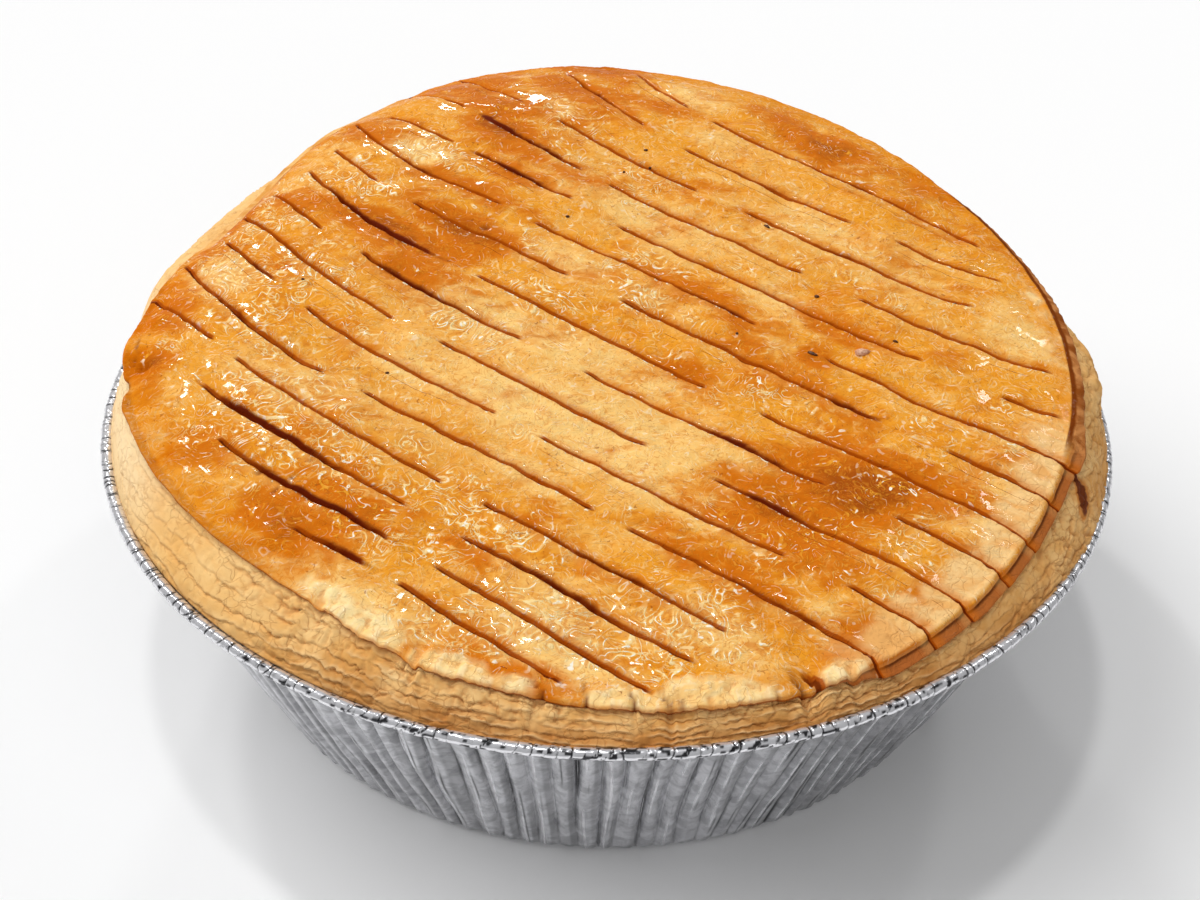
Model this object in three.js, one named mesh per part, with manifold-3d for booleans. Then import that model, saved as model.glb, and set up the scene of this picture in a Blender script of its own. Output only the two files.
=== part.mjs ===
// A baked steak and onion pie in its fluted foil tray.
// Millimetres, +Z up, the tray's flat base rests on z = 0, centred on the origin.
import * as THREE from "three";
import { mergeVertices } from "three/addons/utils/BufferGeometryUtils.js";
import Module from "manifold-3d";

// foil tray
const rimRadius = 100;
const rimTop = 51;
const baseRadius = 75;
const footHeight = 1.8;
const wallTopRadius = 93.9;
const wallTopHeight = 47.6;
const foil = 0.6;
const fluteCount = 130;
const fluteDepth = 0.7;

// pastry
const fitGap = 0.3;
const lidHeight = 65;
const lidRise = 0.14;
const lidLean = -0.04;
const lidThickness = 6;
const edgeDropMean = 4.2;
const edgeDropSwing = 1.8;
const edgeDropTurn = 20;
const shoulderPower = 8;
// outline of the lid: a circle with soft bulges and dents, each at a turn in degrees
const lidMean = 91;
const lidSwells = [
  { turn: 40, half: 30, out: -3.4 },
  { turn: 103, half: 25, out: 4.3 },
  { turn: 156, half: 14, out: -5 },
  { turn: 195, half: 14, out: 2.4 },
  { turn: 232, half: 15, out: -3 },
  { turn: 292, half: 28, out: 3.2 },
];
const sheetSeam = 0.5;
// rings shared by the lid's underside and the pastry below it: share of the radius, points
const underRings = [[0.45, 30], [0.78, 60], [0.92, 60], [0.99, 60]];
// the back left edge rolls down
const rollDrop = 4;
const rollTurn = 135;
const rollPower = 6;
// pastry that spills over towards the rolled rim, with a gap at the front left
const spillRadius = 96;
const bulgeRadius = 96.9;
const gapDepth = 2;
const gapTurn = 236;

// slashes: parallel cuts, staggered from row to row
const slashTurn = -32;
const slashWidth = 1.8;
const slashDepth = 1.7;
const slashStep = 13;
// one row for each line of cuts: its place across the pie, how it bends up at the left and
// at the right (where the bend starts, then its rise 76 mm left or 80 mm right of the
// middle), then where each cut starts and ends
const leftReach = -76;
const rightReach = 80;
const slashRows = [
  { across: 66.2, left: [-5, 37], right: [0, -2], cuts: [[-44, -22], [-19, 51]] },
  { across: 54.2, left: [-8, 27.5], right: [38, 16], cuts: [[-53, -26], [-19, 27], [33, 59]] },
  { across: 43.2, left: [0, 11], right: [42, 17], cuts: [[-74, -52], [-46, -4], [3, 59]] },
  { across: 33.3, left: [0, 8.7], right: [40, 6.5], cuts: [[-77, -62], [-58, -27], [-24, 26], [35, 79]] },
  { across: 24, left: [0, 5.2], right: [45, 3.9], cuts: [[-71, -56], [-52, -24], [-16, 58], [70, 85]] },
  { across: 14.2, left: [-50, 6.5], right: [55, 2.3], cuts: [[-77, -34], [-29, 26], [38, 95]] },
  { across: 4.3, left: [-48, 7], right: [35, 2.3], cuts: [[-72, -60], [-52, -11], [-3, 58], [68, 95]] },
  { across: -6.4, left: [-44, 8.5], right: [20, 2.2], cuts: [[-72, -36], [-29, 27], [35, 97]] },
  { across: -16.8, left: [-30, 9], right: [15, 2.6], cuts: [[-72, -59], [-50, -8], [3, 58], [68, 97]] },
  { across: -26.6, left: [-25, 10.4], right: [20, 1.9], cuts: [[-74, -31], [-24, 27], [37, 96]] },
  { across: -36.6, left: [-22, 12.4], right: [0, 3], cuts: [[-72, -57], [-49, 0], [7, 60], [68, 94]] },
  { across: -45.9, left: [-35, 10.8], right: [0, 1.8], cuts: [[-79, -32], [-27, 28], [31, 86]] },
  { across: -55.9, left: [-15, 11.2], right: [0, 2.4], cuts: [[-77, -57], [-52, 2], [8, 60], [71, 79]] },
  { across: -64, left: [-12, 8.5], right: [0, 1], cuts: [[-54, 1], [8, 60]] },
  { across: -71.9, left: [-12, 12], right: [0, 0], cuts: [[-41, 2], [8, 57]] },
  { across: -78.4, left: [0, 0], right: [0, -2], cuts: [[-17, 2], [6, 43]] },
];

const radians = Math.PI / 180;
const fullTurn = 2 * Math.PI;

// ---- small mesh builder: rings of points joined by strips and closed by caps

class Shell {
  constructor() {
    this.points = [];
    this.faces = [];
  }

  point(x, y, z) {
    this.points.push(x, y, z);
    return this.points.length / 3 - 1;
  }

  ring(count, place) {
    const ids = [];
    for (let i = 0; i < count; i++) {
      const p = place((fullTurn * i) / count);
      ids.push(this.point(p[0], p[1], p[2]));
    }
    return ids;
  }

  // joins two rings whose counts may differ; lower ring first for an outward face
  strip(lower, upper) {
    const n = lower.length;
    const m = upper.length;
    let i = 0;
    let j = 0;
    while (i < n || j < m) {
      const a = lower[i % n];
      const b = upper[j % m];
      if (j >= m || (i < n && (i + 1) / n <= (j + 1) / m)) {
        this.faces.push(a, lower[(i + 1) % n], b);
        i++;
      } else {
        this.faces.push(a, upper[(j + 1) % m], b);
        j++;
      }
    }
  }

  cap(ring, centre, up) {
    for (let i = 0; i < ring.length; i++) {
      const next = ring[(i + 1) % ring.length];
      if (up) this.faces.push(ring[i], next, centre);
      else this.faces.push(next, ring[i], centre);
    }
  }

  geometry() {
    const g = new THREE.BufferGeometry();
    g.setAttribute("position", new THREE.Float32BufferAttribute(this.points, 3));
    g.setIndex(this.faces);
    return g;
  }
}

const wasm = await Module();
wasm.setup();

function toManifold(geometry) {
  const g = geometry.clone();
  g.deleteAttribute("normal");
  g.deleteAttribute("uv");
  const merged = mergeVertices(g, 1e-5);
  const mesh = new wasm.Mesh({
    numProp: 3,
    vertProperties: new Float32Array(merged.attributes.position.array),
    triVerts: new Uint32Array(merged.index.array),
  });
  return new wasm.Manifold(mesh);
}

function fromManifold(solid) {
  const mesh = solid.getMesh();
  const g = new THREE.BufferGeometry();
  g.setAttribute("position", new THREE.Float32BufferAttribute(mesh.vertProperties, 3));
  g.setIndex(new THREE.Uint32BufferAttribute(mesh.triVerts, 1));
  return g;
}

// ---- foil tray

function fluteWave(angle, amount) {
  return amount * Math.cos(fluteCount * angle);
}

function circle(radius, z, amount = 0) {
  return (a) => {
    const r = radius + fluteWave(a, amount);
    return [r * Math.cos(a), r * Math.sin(a), z];
  };
}

function buildTray() {
  const s = new Shell();
  const fine = 2 * fluteCount;
  const plain = fluteCount;
  const half = fluteDepth / 2;
  const foot = half * 0.5;
  // the wall leans outward, so its foil is set off along the wall's normal
  const rise = wallTopHeight - footHeight;
  const run = wallTopRadius - baseRadius;
  const length = Math.hypot(rise, run);
  const inR = (foil * rise) / length;
  const inZ = (foil * run) / length;
  const bottom = s.point(0, 0, 0);
  const floor = s.point(0, 0, foil);
  const rings = [
    s.ring(plain, circle(baseRadius - 2.6, 0)),
    s.ring(fine, circle(baseRadius, footHeight, foot)),
    s.ring(fine, circle(wallTopRadius, wallTopHeight, half)),
    s.ring(plain, circle(rimRadius - 3.2, rimTop - 2.7)),
    s.ring(plain, circle(rimRadius - 0.7, rimTop - 2.5)),
    s.ring(plain, circle(rimRadius, rimTop - 1.3)),
    s.ring(plain, circle(rimRadius - 1.7, rimTop)),
    s.ring(plain, circle(rimRadius - 2.9, rimTop - 0.8)),
    s.ring(plain, circle(rimRadius - 3.5, rimTop - 2.1)),
    s.ring(fine, circle(wallTopRadius - inR, wallTopHeight + inZ, half)),
    s.ring(fine, circle(baseRadius - inR, footHeight + inZ, foot)),
    s.ring(plain, circle(baseRadius - 2.9, foil)),
  ];
  s.cap(rings[0], bottom, false);
  for (let i = 0; i + 1 < rings.length; i++) s.strip(rings[i], rings[i + 1]);
  s.cap(rings[rings.length - 1], floor, true);
  return s.geometry();
}

// ---- lid

function lidRadius(angle) {
  let radius = lidMean;
  for (const { turn, half, out } of lidSwells) {
    const apart = Math.acos(Math.cos(angle - turn * radians)) / radians;
    radius += out * Math.exp(-((apart / half) ** 2));
  }
  return radius;
}

function shareOut(x, y) {
  return Math.min(Math.hypot(x, y) / lidRadius(Math.atan2(y, x)), 1);
}

function lidUnder(x, y) {
  const toward = Math.max(0, Math.cos(Math.atan2(y, x) - rollTurn * radians));
  const roll = rollDrop * toward ** 1.5 * shareOut(x, y) ** rollPower;
  return lidHeight + lidLean * x + lidRise * y - roll;
}

function edgeDrop(angle) {
  return edgeDropMean - edgeDropSwing * Math.cos(angle + edgeDropTurn * radians);
}

function lidTop(x, y) {
  const drop = edgeDrop(Math.atan2(y, x)) * shareOut(x, y) ** shoulderPower;
  return lidUnder(x, y) + lidThickness - drop;
}

function lidRing(shell, count, share, height) {
  return shell.ring(count, (a) => {
    const r = lidRadius(a) * share;
    const x = r * Math.cos(a);
    const y = r * Math.sin(a);
    return [x, y, height(x, y)];
  });
}

function buildLidBlank() {
  const s = new Shell();
  const count = 60;
  const under = s.point(0, 0, lidUnder(0, 0));
  const crown = s.point(0, 0, lidTop(0, 0));
  const seam = (x, y) => (lidTop(x, y) + lidUnder(x, y)) / 2;
  const rings = [
    ...underRings.map(([share, points]) => lidRing(s, points, share, lidUnder)),
    lidRing(s, count, 1 - sheetSeam / 90, seam),
    lidRing(s, count, 1, (x, y) => 0.2 * lidUnder(x, y) + 0.8 * lidTop(x, y)),
    lidRing(s, count, 0.99, lidTop),
    lidRing(s, count, 0.94, lidTop),
    lidRing(s, count, 0.86, lidTop),
    lidRing(s, 30, 0.7, lidTop),
  ];
  s.cap(rings[0], under, false);
  for (let i = 0; i + 1 < rings.length; i++) s.strip(rings[i], rings[i + 1]);
  s.cap(rings[rings.length - 1], crown, true);
  return s.geometry();
}

// where a slash of the given row lies, at a distance along it
function slashPoint(row, along) {
  const [leftFrom, leftRise] = row.left;
  const [rightFrom, rightRise] = row.right;
  const left = Math.max(0, leftFrom - along) / (leftFrom - leftReach);
  const right = Math.max(0, along - rightFrom) / (rightReach - rightFrom);
  const v = row.across + leftRise * left ** 2 + rightRise * right ** 2;
  const c = Math.cos(slashTurn * radians);
  const d = Math.sin(slashTurn * radians);
  return [along * c - v * d, along * d + v * c];
}

// a V-shaped wedge that follows the lid's top; it tapers to nothing at both ends,
// but goes right through where the cut runs off the edge
function buildSlash(row, from, to) {
  const s = new Shell();
  const steps = Math.max(2, Math.round((to - from) / slashStep));
  const rows = [];
  for (let i = 0; i <= steps; i++) {
    const along = from + ((to - from) * i) / steps;
    const [x, y] = slashPoint(row, along);
    const [x2, y2] = slashPoint(row, along + 1);
    const length = Math.hypot(x2 - x, y2 - y);
    const nx = -(y2 - y) / length;
    const ny = (x2 - x) / length;
    const atEnd = i === 0 || i === steps;
    let deep = atEnd ? 0.3 : slashDepth;
    let wide = atEnd ? 0.3 : slashWidth / 2;
    if (shareOut(x, y) > 0.97) {
      deep = lidThickness + 1;
      wide = slashWidth / 2;
    }
    const z = lidTop(x, y);
    const lift = 0.8;
    const open = wide * (1 + lift / slashDepth);
    rows.push([
      s.point(x - nx * open, y - ny * open, z + lift),
      s.point(x, y, z - deep),
      s.point(x + nx * open, y + ny * open, z + lift),
    ]);
  }
  for (let i = 0; i < steps; i++) {
    for (let k = 0; k < 3; k++) {
      const k2 = (k + 1) % 3;
      const [a, b, c, d] = [rows[i][k], rows[i][k2], rows[i + 1][k2], rows[i + 1][k]];
      s.faces.push(a, b, d);
      s.faces.push(b, c, d);
    }
  }
  s.faces.push(rows[0][2], rows[0][1], rows[0][0]);
  s.faces.push(rows[steps][0], rows[steps][1], rows[steps][2]);
  return s.geometry();
}

function buildLid() {
  let lid = toManifold(buildLidBlank());
  const wedges = [];
  for (const row of slashRows) {
    for (const [from, to] of row.cuts) {
      wedges.push(toManifold(buildSlash(row, from, to)));
    }
  }
  lid = lid.subtract(wasm.Manifold.union(wedges));
  return fromManifold(lid);
}

// ---- pie body: the pale pastry below the lid and the filled case inside the tray

function buildBody() {
  const s = new Shell();
  const count = 60;
  const top = (x, y) => lidUnder(x, y) - fitGap;
  const bottom = s.point(0, 0, foil + fitGap);
  const crown = s.point(0, 0, top(0, 0));
  const wallIn = fluteDepth / 2 + foil + fitGap + 0.1;
  const opening = (a) => gapDepth * Math.max(0, Math.cos(a - gapTurn * radians)) ** 12;
  // the side swells out from the lid's edge, then meets the tray inside its rolled rim
  const side = (radius, outShare, dropShare) => (a) => {
    const r0 = lidRadius(a) + 0.2;
    const z0 = top(r0 * Math.cos(a), r0 * Math.sin(a));
    const z1 = Math.min(rimTop - 0.4, z0 - 0.4);
    const r = r0 + (radius - opening(a) - r0) * outShare;
    return [r * Math.cos(a), r * Math.sin(a), z0 + (z1 - z0) * dropShare];
  };
  const rings = [
    s.ring(count, circle(baseRadius - 3.4, foil + fitGap)),
    s.ring(count, circle(baseRadius - wallIn, footHeight + 0.9)),
    s.ring(count, circle(wallTopRadius - wallIn, wallTopHeight + 0.9)),
    s.ring(count, circle(spillRadius - gapDepth - 0.2, rimTop - 1.6)),
    s.ring(count, side(spillRadius, 1, 1)),
    s.ring(count, side(bulgeRadius, 1, 0.55)),
    s.ring(count, side(bulgeRadius, 0.6, 0.15)),
    ...underRings.map(([share, points]) => lidRing(s, points, share, top)).reverse(),
  ];
  s.cap(rings[0], bottom, false);
  for (let i = 0; i + 1 < rings.length; i++) s.strip(rings[i], rings[i + 1]);
  s.cap(rings[rings.length - 1], crown, true);
  return s.geometry();
}

function mesh(name, geometry, color, roughness, metalness) {
  const material = new THREE.MeshStandardMaterial({ color, roughness, metalness });
  geometry.computeVertexNormals();
  const node = new THREE.Mesh(geometry, material);
  node.name = name;
  return node;
}

const pie = new THREE.Group();
pie.name = "steak_and_onion_pie";
pie.add(mesh("foil_tray", buildTray(), 0xb9bbbf, 0.35, 1));
pie.add(mesh("pie_body", buildBody(), 0xdcb37c, 0.8, 0));
pie.add(mesh("pastry_lid", buildLid(), 0xc98330, 0.35, 0));

export default pie;
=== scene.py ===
from math import cos, pi, radians, sin

import bpy
import numpy as np
from mathutils import Matrix, Vector
from mathutils.geometry import delaunay_2d_cdt


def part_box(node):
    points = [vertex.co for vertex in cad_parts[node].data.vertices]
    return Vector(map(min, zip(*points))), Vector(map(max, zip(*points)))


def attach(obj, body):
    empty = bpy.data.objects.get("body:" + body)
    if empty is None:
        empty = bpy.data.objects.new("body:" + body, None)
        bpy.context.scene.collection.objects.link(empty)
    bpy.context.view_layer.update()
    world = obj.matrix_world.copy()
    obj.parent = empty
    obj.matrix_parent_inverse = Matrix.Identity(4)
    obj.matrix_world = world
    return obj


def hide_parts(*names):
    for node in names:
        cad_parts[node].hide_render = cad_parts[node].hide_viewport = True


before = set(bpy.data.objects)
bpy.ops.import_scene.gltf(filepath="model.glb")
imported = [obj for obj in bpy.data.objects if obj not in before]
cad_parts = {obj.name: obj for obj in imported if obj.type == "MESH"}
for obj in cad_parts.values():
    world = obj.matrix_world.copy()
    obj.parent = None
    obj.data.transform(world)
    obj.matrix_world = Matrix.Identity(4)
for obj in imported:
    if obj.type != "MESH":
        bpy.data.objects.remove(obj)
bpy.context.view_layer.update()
print("pie: frame loaded")

mm = 0.001
fullTurn = 2 * pi
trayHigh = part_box("foil_tray")[1]
rimRadius = trayHigh.x / mm
rimTop = trayHigh.z / mm
scale = rimRadius / 100  # radii below are for a rim of 100
meanRadius = 95  # lengths round the edge are measured at this radius


# steady noise and small curves, in millimetres

def hashed(ix, iy, seed):
    # the same random number, 0 to 1, for the same whole-number place
    h = (ix * 374761393 + iy * 668265263 + seed * 1442695041) & 0xFFFFFFFF
    h = ((h ^ (h >> 13)) * 1274126177) & 0xFFFFFFFF
    h = ((h ^ (h >> 16)) * 2246822519) & 0xFFFFFFFF
    return ((h ^ (h >> 15)) & 0xFFFFFF) / 0xFFFFFF


def wavy(x, y, seed=0):
    # rolling noise, about -1 to 1, with bumps one unit across
    x, y = np.broadcast_arrays(np.asarray(x, float), np.asarray(y, float))
    ix, iy = np.floor(x).astype(np.int64), np.floor(y).astype(np.int64)
    fx, fy = x - ix, y - iy
    sx = fx ** 3 * (fx * (fx * 6 - 15) + 10)
    sy = fy ** 3 * (fy * (fy * 6 - 15) + 10)
    corner = []
    for dy in (0, 1):
        for dx in (0, 1):
            turn = fullTurn * hashed(ix + dx, iy + dy, seed)
            corner.append(np.cos(turn) * (fx - dx) + np.sin(turn) * (fy - dy))
    low = corner[0] + sx * (corner[1] - corner[0])
    high = corner[2] + sx * (corner[3] - corner[2])
    return 1.5 * (low + sy * (high - low))


def layered(x, y, size, octaves=3, seed=0):
    total = 0
    for k in range(octaves):
        total = total + wavy(x / size * 2 ** k, y / size * 2 ** k, seed + k) / 2 ** k
    return total


def creased(x, y, size, seed=0, warp=0.6):
    # thin curly ridges, 0 to 1
    wx = x + warp * size * wavy(x / size * 0.7, y / size * 0.7, seed + 51)
    wy = y + warp * size * wavy(x / size * 0.7, y / size * 0.7, seed + 52)
    return 1 - np.minimum(1, np.abs(wavy(wx / size, wy / size, seed)) * 2.2)


def cracked(x, y, seed=0, jitter=0.9):
    # how near a point is to the border between two cells: 0 on the border
    ix, iy = np.floor(x).astype(np.int64), np.floor(y).astype(np.int64)
    first, second = np.full(x.shape, 9.0), np.full(x.shape, 9.0)
    for dy in (-1, 0, 1):
        for dx in (-1, 0, 1):
            cx = ix + dx + 0.5 + jitter * (hashed(ix + dx, iy + dy, seed) - 0.5)
            cy = iy + dy + 0.5 + jitter * (hashed(ix + dx, iy + dy, seed + 7) - 0.5)
            far = np.hypot(x - cx, y - cy)
            second = np.minimum(second, np.maximum(first, far))
            first = np.minimum(first, far)
    return second - first


def ease(value, start, end):
    t = np.clip((value - start) / (end - start), 0, 1)
    return t * t * (3 - 2 * t)


def within(angle, start, end, soft):
    # 1 between two angles in degrees, fading over soft degrees
    middle, half = (start + end) / 2, (end - start) / 2
    off = np.abs((np.degrees(angle) - middle + 180) % 360 - 180)
    return 1 - ease(off, half - soft / 2, half + soft / 2)


def spots(x, y, places):
    # soft oval spots, of which the strongest counts: x, y, half length, half width, strength
    total = np.zeros(np.shape(x))
    for cx, cy, rx, ry, strength in places:
        total = np.maximum(total, strength * np.exp(-((x - cx) / rx) ** 2 - ((y - cy) / ry) ** 2))
    return total


# meshes and finishes

class Wire:
    # a socket that can be used in sums
    def __init__(self, finish, socket):
        self.finish = finish
        self.socket = socket

    def sums(self, operation, a, b):
        return self.finish.node("ShaderNodeMath", {"operation": operation}, {0: a, 1: b})

    def __add__(self, other):
        return self.sums("ADD", self, other)

    def __radd__(self, other):
        return self.sums("ADD", other, self)

    def __sub__(self, other):
        return self.sums("SUBTRACT", self, other)

    def __rsub__(self, other):
        return self.sums("SUBTRACT", other, self)

    def __mul__(self, other):
        return self.sums("MULTIPLY", self, other)

    def __rmul__(self, other):
        return self.sums("MULTIPLY", other, self)

    def __truediv__(self, other):
        return self.sums("DIVIDE", self, other)

    def __rtruediv__(self, other):
        return self.sums("DIVIDE", other, self)

    def __abs__(self):
        return self.sums("ABSOLUTE", self, 0.0)


class Finish:
    # one material and the nodes in it
    def __init__(self, name):
        self.material = bpy.data.materials.new(name)
        self.material.use_nodes = True
        self.tree = self.material.node_tree
        self.tree.nodes.clear()
        self.place = self.node("ShaderNodeTexCoord", out="Object")
        self.colour = None

    def node(self, kind, settings=None, sockets=None, out=0):
        made = self.tree.nodes.new(kind)
        for key, value in (settings or {}).items():
            setattr(made, key, value)
        for key, value in (sockets or {}).items():
            if isinstance(value, Wire):
                self.tree.links.new(value.socket, made.inputs[key])
            else:
                made.inputs[key].default_value = value
        return Wire(self, made.outputs[out]) if len(made.outputs) else made

    def field(self, name):
        return self.node("ShaderNodeAttribute", {"attribute_name": name}, out="Fac")

    def noise(self, size, detail=3.0, rough=0.55, distortion=0.0, place=None):
        # size in millimetres
        return self.node("ShaderNodeTexNoise", {}, {
            "Vector": place or self.place, "Scale": 1000.0 / size, "Detail": detail,
            "Roughness": rough, "Distortion": distortion}, out="Fac")

    def warped(self, size, amount):
        # object coordinates pushed about by noise, in millimetres
        swirl = self.node("ShaderNodeTexNoise", {}, {
            "Vector": self.place, "Scale": 1000.0 / size, "Detail": 1.0}, out="Color")
        push = (amount * mm, amount * mm, amount * mm)
        return self.node("ShaderNodeVectorMath", {"operation": "MULTIPLY_ADD"}, {
            0: swirl, 1: push, 2: self.place})

    def crackle(self, size, place, width=0.05):
        # thin lines between cells, 1 on a line
        edge = self.node("ShaderNodeTexVoronoi", {"feature": "DISTANCE_TO_EDGE"}, {
            "Vector": place, "Scale": 1000.0 / size}, out="Distance")
        return 1 - self.span(edge, width * 0.2, width)

    def waves(self, value, count):
        # smooth bands, -1 to 1, that follow a slow field
        return self.node("ShaderNodeMath", {"operation": "SINE"}, {0: value * (fullTurn * count)})

    def span(self, value, low, high):
        # 0 at low, 1 at high, smooth between
        return self.node("ShaderNodeMapRange", {"interpolation_type": "SMOOTHSTEP"}, {
            "Value": value, "From Min": low, "From Max": high})

    def larger(self, first, second):
        return self.node("ShaderNodeMath", {"operation": "MAXIMUM"}, {0: first, 1: second})

    def mix(self, share, first, second):
        # a colour is a link, a linear colour of four numbers, or a screen colour of three
        first, second = [
            shade(*value) if isinstance(value, tuple) and len(value) == 3 else value
            for value in (first, second)]
        return self.node("ShaderNodeMix", {"data_type": "RGBA"}, {
            0: share, 6: first, 7: second}, out=2)

    def over(self, share, colour):
        # one more colour over those that came before
        self.colour = self.mix(share, self.colour, colour)

    def bump(self, height, strength, distance):
        return self.node("ShaderNodeBump", {}, {
            "Strength": strength, "Distance": distance, "Height": height}, out="Normal")

    def stretched(self, turn, along, across):
        # object coordinates turned and stretched, for streaks
        return self.node("ShaderNodeMapping", {}, {
            "Vector": self.place, "Rotation": (0, 0, turn), "Scale": (along, across, across)})

    def surface(self, sockets):
        sockets = {"Base Color": self.colour, **sockets}
        shader = self.node("ShaderNodeBsdfPrincipled", {}, sockets, out="BSDF")
        self.node("ShaderNodeOutputMaterial", {}, {"Surface": shader})
        return self.material


def shade(red, green, blue):
    # a screen colour, 0 to 255, as a linear one
    def linear(value):
        value /= 255
        return value / 12.92 if value <= 0.04045 else ((value + 0.055) / 1.055) ** 2.4
    return (linear(red), linear(green), linear(blue), 1)


class Points:
    # rings of points and the faces between them
    def __init__(self):
        self.rows = []
        self.faces = []
        self.count = 0

    def add(self, x, y, z):
        xyz = np.column_stack([np.ravel(a) for a in np.broadcast_arrays(x, y, z)])
        ids = np.arange(self.count, self.count + len(xyz))
        self.rows.append(xyz)
        self.count += len(xyz)
        return ids

    def strip(self, lower, upper):
        # faces between two rings; one may have a whole number of times the points of the other
        n, m = len(lower), len(upper)
        if n == m:
            self.faces += np.column_stack([lower, np.roll(lower, -1), np.roll(upper, -1), upper]).tolist()
        elif n > m:
            self.fan(upper, lower, n // m, True)
        else:
            self.fan(lower, upper, m // n, False)

    def fan(self, few, many, times, flip):
        groups = np.append(many, many[0])
        for i, point in enumerate(few):
            after = few[(i + 1) % len(few)]
            part = groups[i * times:(i + 1) * times + 1].tolist()
            half = times // 2
            for k in range(times):
                tip = int(point) if k < half or times == 1 else int(after)
                face = [tip, part[k + 1], part[k]]
                self.faces.append(face[::-1] if flip else face)
            face = [int(point), int(after), part[half]]
            self.faces.append(face[::-1] if flip else face)

    def cap(self, ring, x, y, z, up):
        centre = int(self.add(x, y, z)[0])
        for a, b in zip(ring.tolist(), np.roll(ring, -1).tolist()):
            self.faces.append([a, b, centre] if up else [b, a, centre])

    def xyz(self):
        return np.vstack(self.rows)


def makePiece(name, xyz, faces, finish, fields=None):
    mesh = bpy.data.meshes.new(name)
    mesh.from_pydata((np.asarray(xyz) * mm).tolist(), [], faces)
    mesh.polygons.foreach_set("use_smooth", np.ones(len(mesh.polygons), bool))
    for key, values in (fields or {}).items():
        layer = mesh.attributes.new(key, "FLOAT", "POINT")
        layer.data.foreach_set("value", np.asarray(values, np.float32))
    mesh.materials.append(finish)
    mesh.update()
    piece = bpy.data.objects.new(name, mesh)
    bpy.context.scene.collection.objects.link(piece)
    print("pie:", name, len(mesh.vertices), "points", len(mesh.loops) - 2 * len(mesh.polygons), "triangles")
    return piece


# the lid's main form, the same named sizes as in the CAD

lid = {
    "height": rimTop + 14,  # underside at the middle
    "lean": -0.04,
    "rise": 0.14,
    "thickness": 6,
    "drop": (4.2, 1.8, 20),  # how far the top falls at its edge: mean, swing, turn
    "shoulder": 8,
    "roll": (4, 135, 6),  # how far the back left edge rolls down, where, how suddenly
    "mean": 91,  # the outline is a circle with soft bulges and dents
    # each at a turn in degrees, with its half width and how far it stands out
    "swells": [
        (40, 30, -3.4), (103, 25, 4.3), (156, 14, -5), (195, 14, 2.4), (232, 15, -3), (292, 28, 3.2)],
}


def lidRadius(angle):
    radius = lid["mean"]
    for turn, half, out in lid["swells"]:
        apart = np.degrees(np.arccos(np.cos(angle - radians(turn))))
        radius = radius + out * np.exp(-(apart / half) ** 2)
    return radius * rimRadius / 100


def shareOut(x, y):
    return np.hypot(x, y) / lidRadius(np.arctan2(y, x))


def lidUnder(x, y):
    drop, turn, power = lid["roll"]
    toward = np.maximum(0, np.cos(np.arctan2(y, x) - radians(turn)))
    roll = drop * toward ** 1.5 * np.minimum(shareOut(x, y), 1) ** power
    return lid["height"] + lid["lean"] * x + lid["rise"] * y - roll


def lidTop(x, y):
    mean, swing, turn = lid["drop"]
    drop = mean - swing * np.cos(np.arctan2(y, x) + radians(turn))
    share = np.minimum(shareOut(x, y), 1)
    return lidUnder(x, y) + lid["thickness"] - drop * share ** lid["shoulder"]


# the slashes

slashes = {
    "turn": radians(-32),
    "leftReach": -76,
    "rightReach": 80,
    "taper": 8,
    "halfWidth": 0.3,
    "farWall": 0.55,  # how far the sloping side of a cut reaches
    "depth": 0.95,
    "dip": 0.24,  # how far the strips sink towards a cut
    "dipReach": 2.2,
    "lip": 0.13,
    "fade": (2.2, 3.2),  # the finish stops telling the distance from a cut between these
    "noCut": 3.5,  # the distance that it reads where there is none
    # place across, left bend (from, rise), right bend (from, rise), then the cuts
    "rows": [
        (-78.4, (0, 0), (0, -2), [(-17, 2), (6, 43)]),
        (-71.9, (-12, 12), (0, 0), [(-41, 2), (8, 57)]),
        (-64, (-12, 8.5), (0, 1), [(-54, 1), (8, 60)]),
        (-55.9, (-15, 11.2), (0, 2.4), [(-81, -56), (-52, 2), (8, 60), (71, 79)]),
        (-45.9, (-35, 10.8), (0, 1.8), [(-84, -32), (-27, 28), (31, 86)]),
        (-36.6, (-22, 12.4), (0, 3), [(-80, -57), (-50, 0), (7, 60), (68, 94)]),
        (-26.6, (-25, 10.4), (20, 1.9), [(-83, -31), (-24, 27), (37, 96)]),
        (-16.8, (-30, 9), (15, 2.6), [(-82, -59), (-51, -8), (3, 58), (68, 97)]),
        (-6.4, (-44, 8.5), (20, 2.2), [(-80, -36), (-29, 27), (35, 97)]),
        (4.3, (-48, 7), (35, 2.3), [(-80, -60), (-53, -11), (-3, 58), (68, 95)]),
        (14.2, (-50, 6.5), (55, 2.3), [(-84, -34), (-29, 26), (38, 95)]),
        (24, (0, 5.2), (45, 3.9), [(-78, -56), (-53, -24), (-16, 58), (70, 85)]),
        (33.3, (0, 8.7), (40, 6.5), [(-84, -62), (-58, -27), (-24, 26), (35, 79)]),
        (43.2, (0, 11), (42, 17), [(-78, -52), (-46, -4), (3, 59)]),
        (54.2, (-8, 27.5), (38, 16), [(-57, -26), (-19, 27), (33, 59)]),
        (66.2, (-5, 37), (0, -2), [(-44, -22), (-19, 51)]),
    ],
}
rowPlaces = np.array([row[0] for row in slashes["rows"]])


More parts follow.
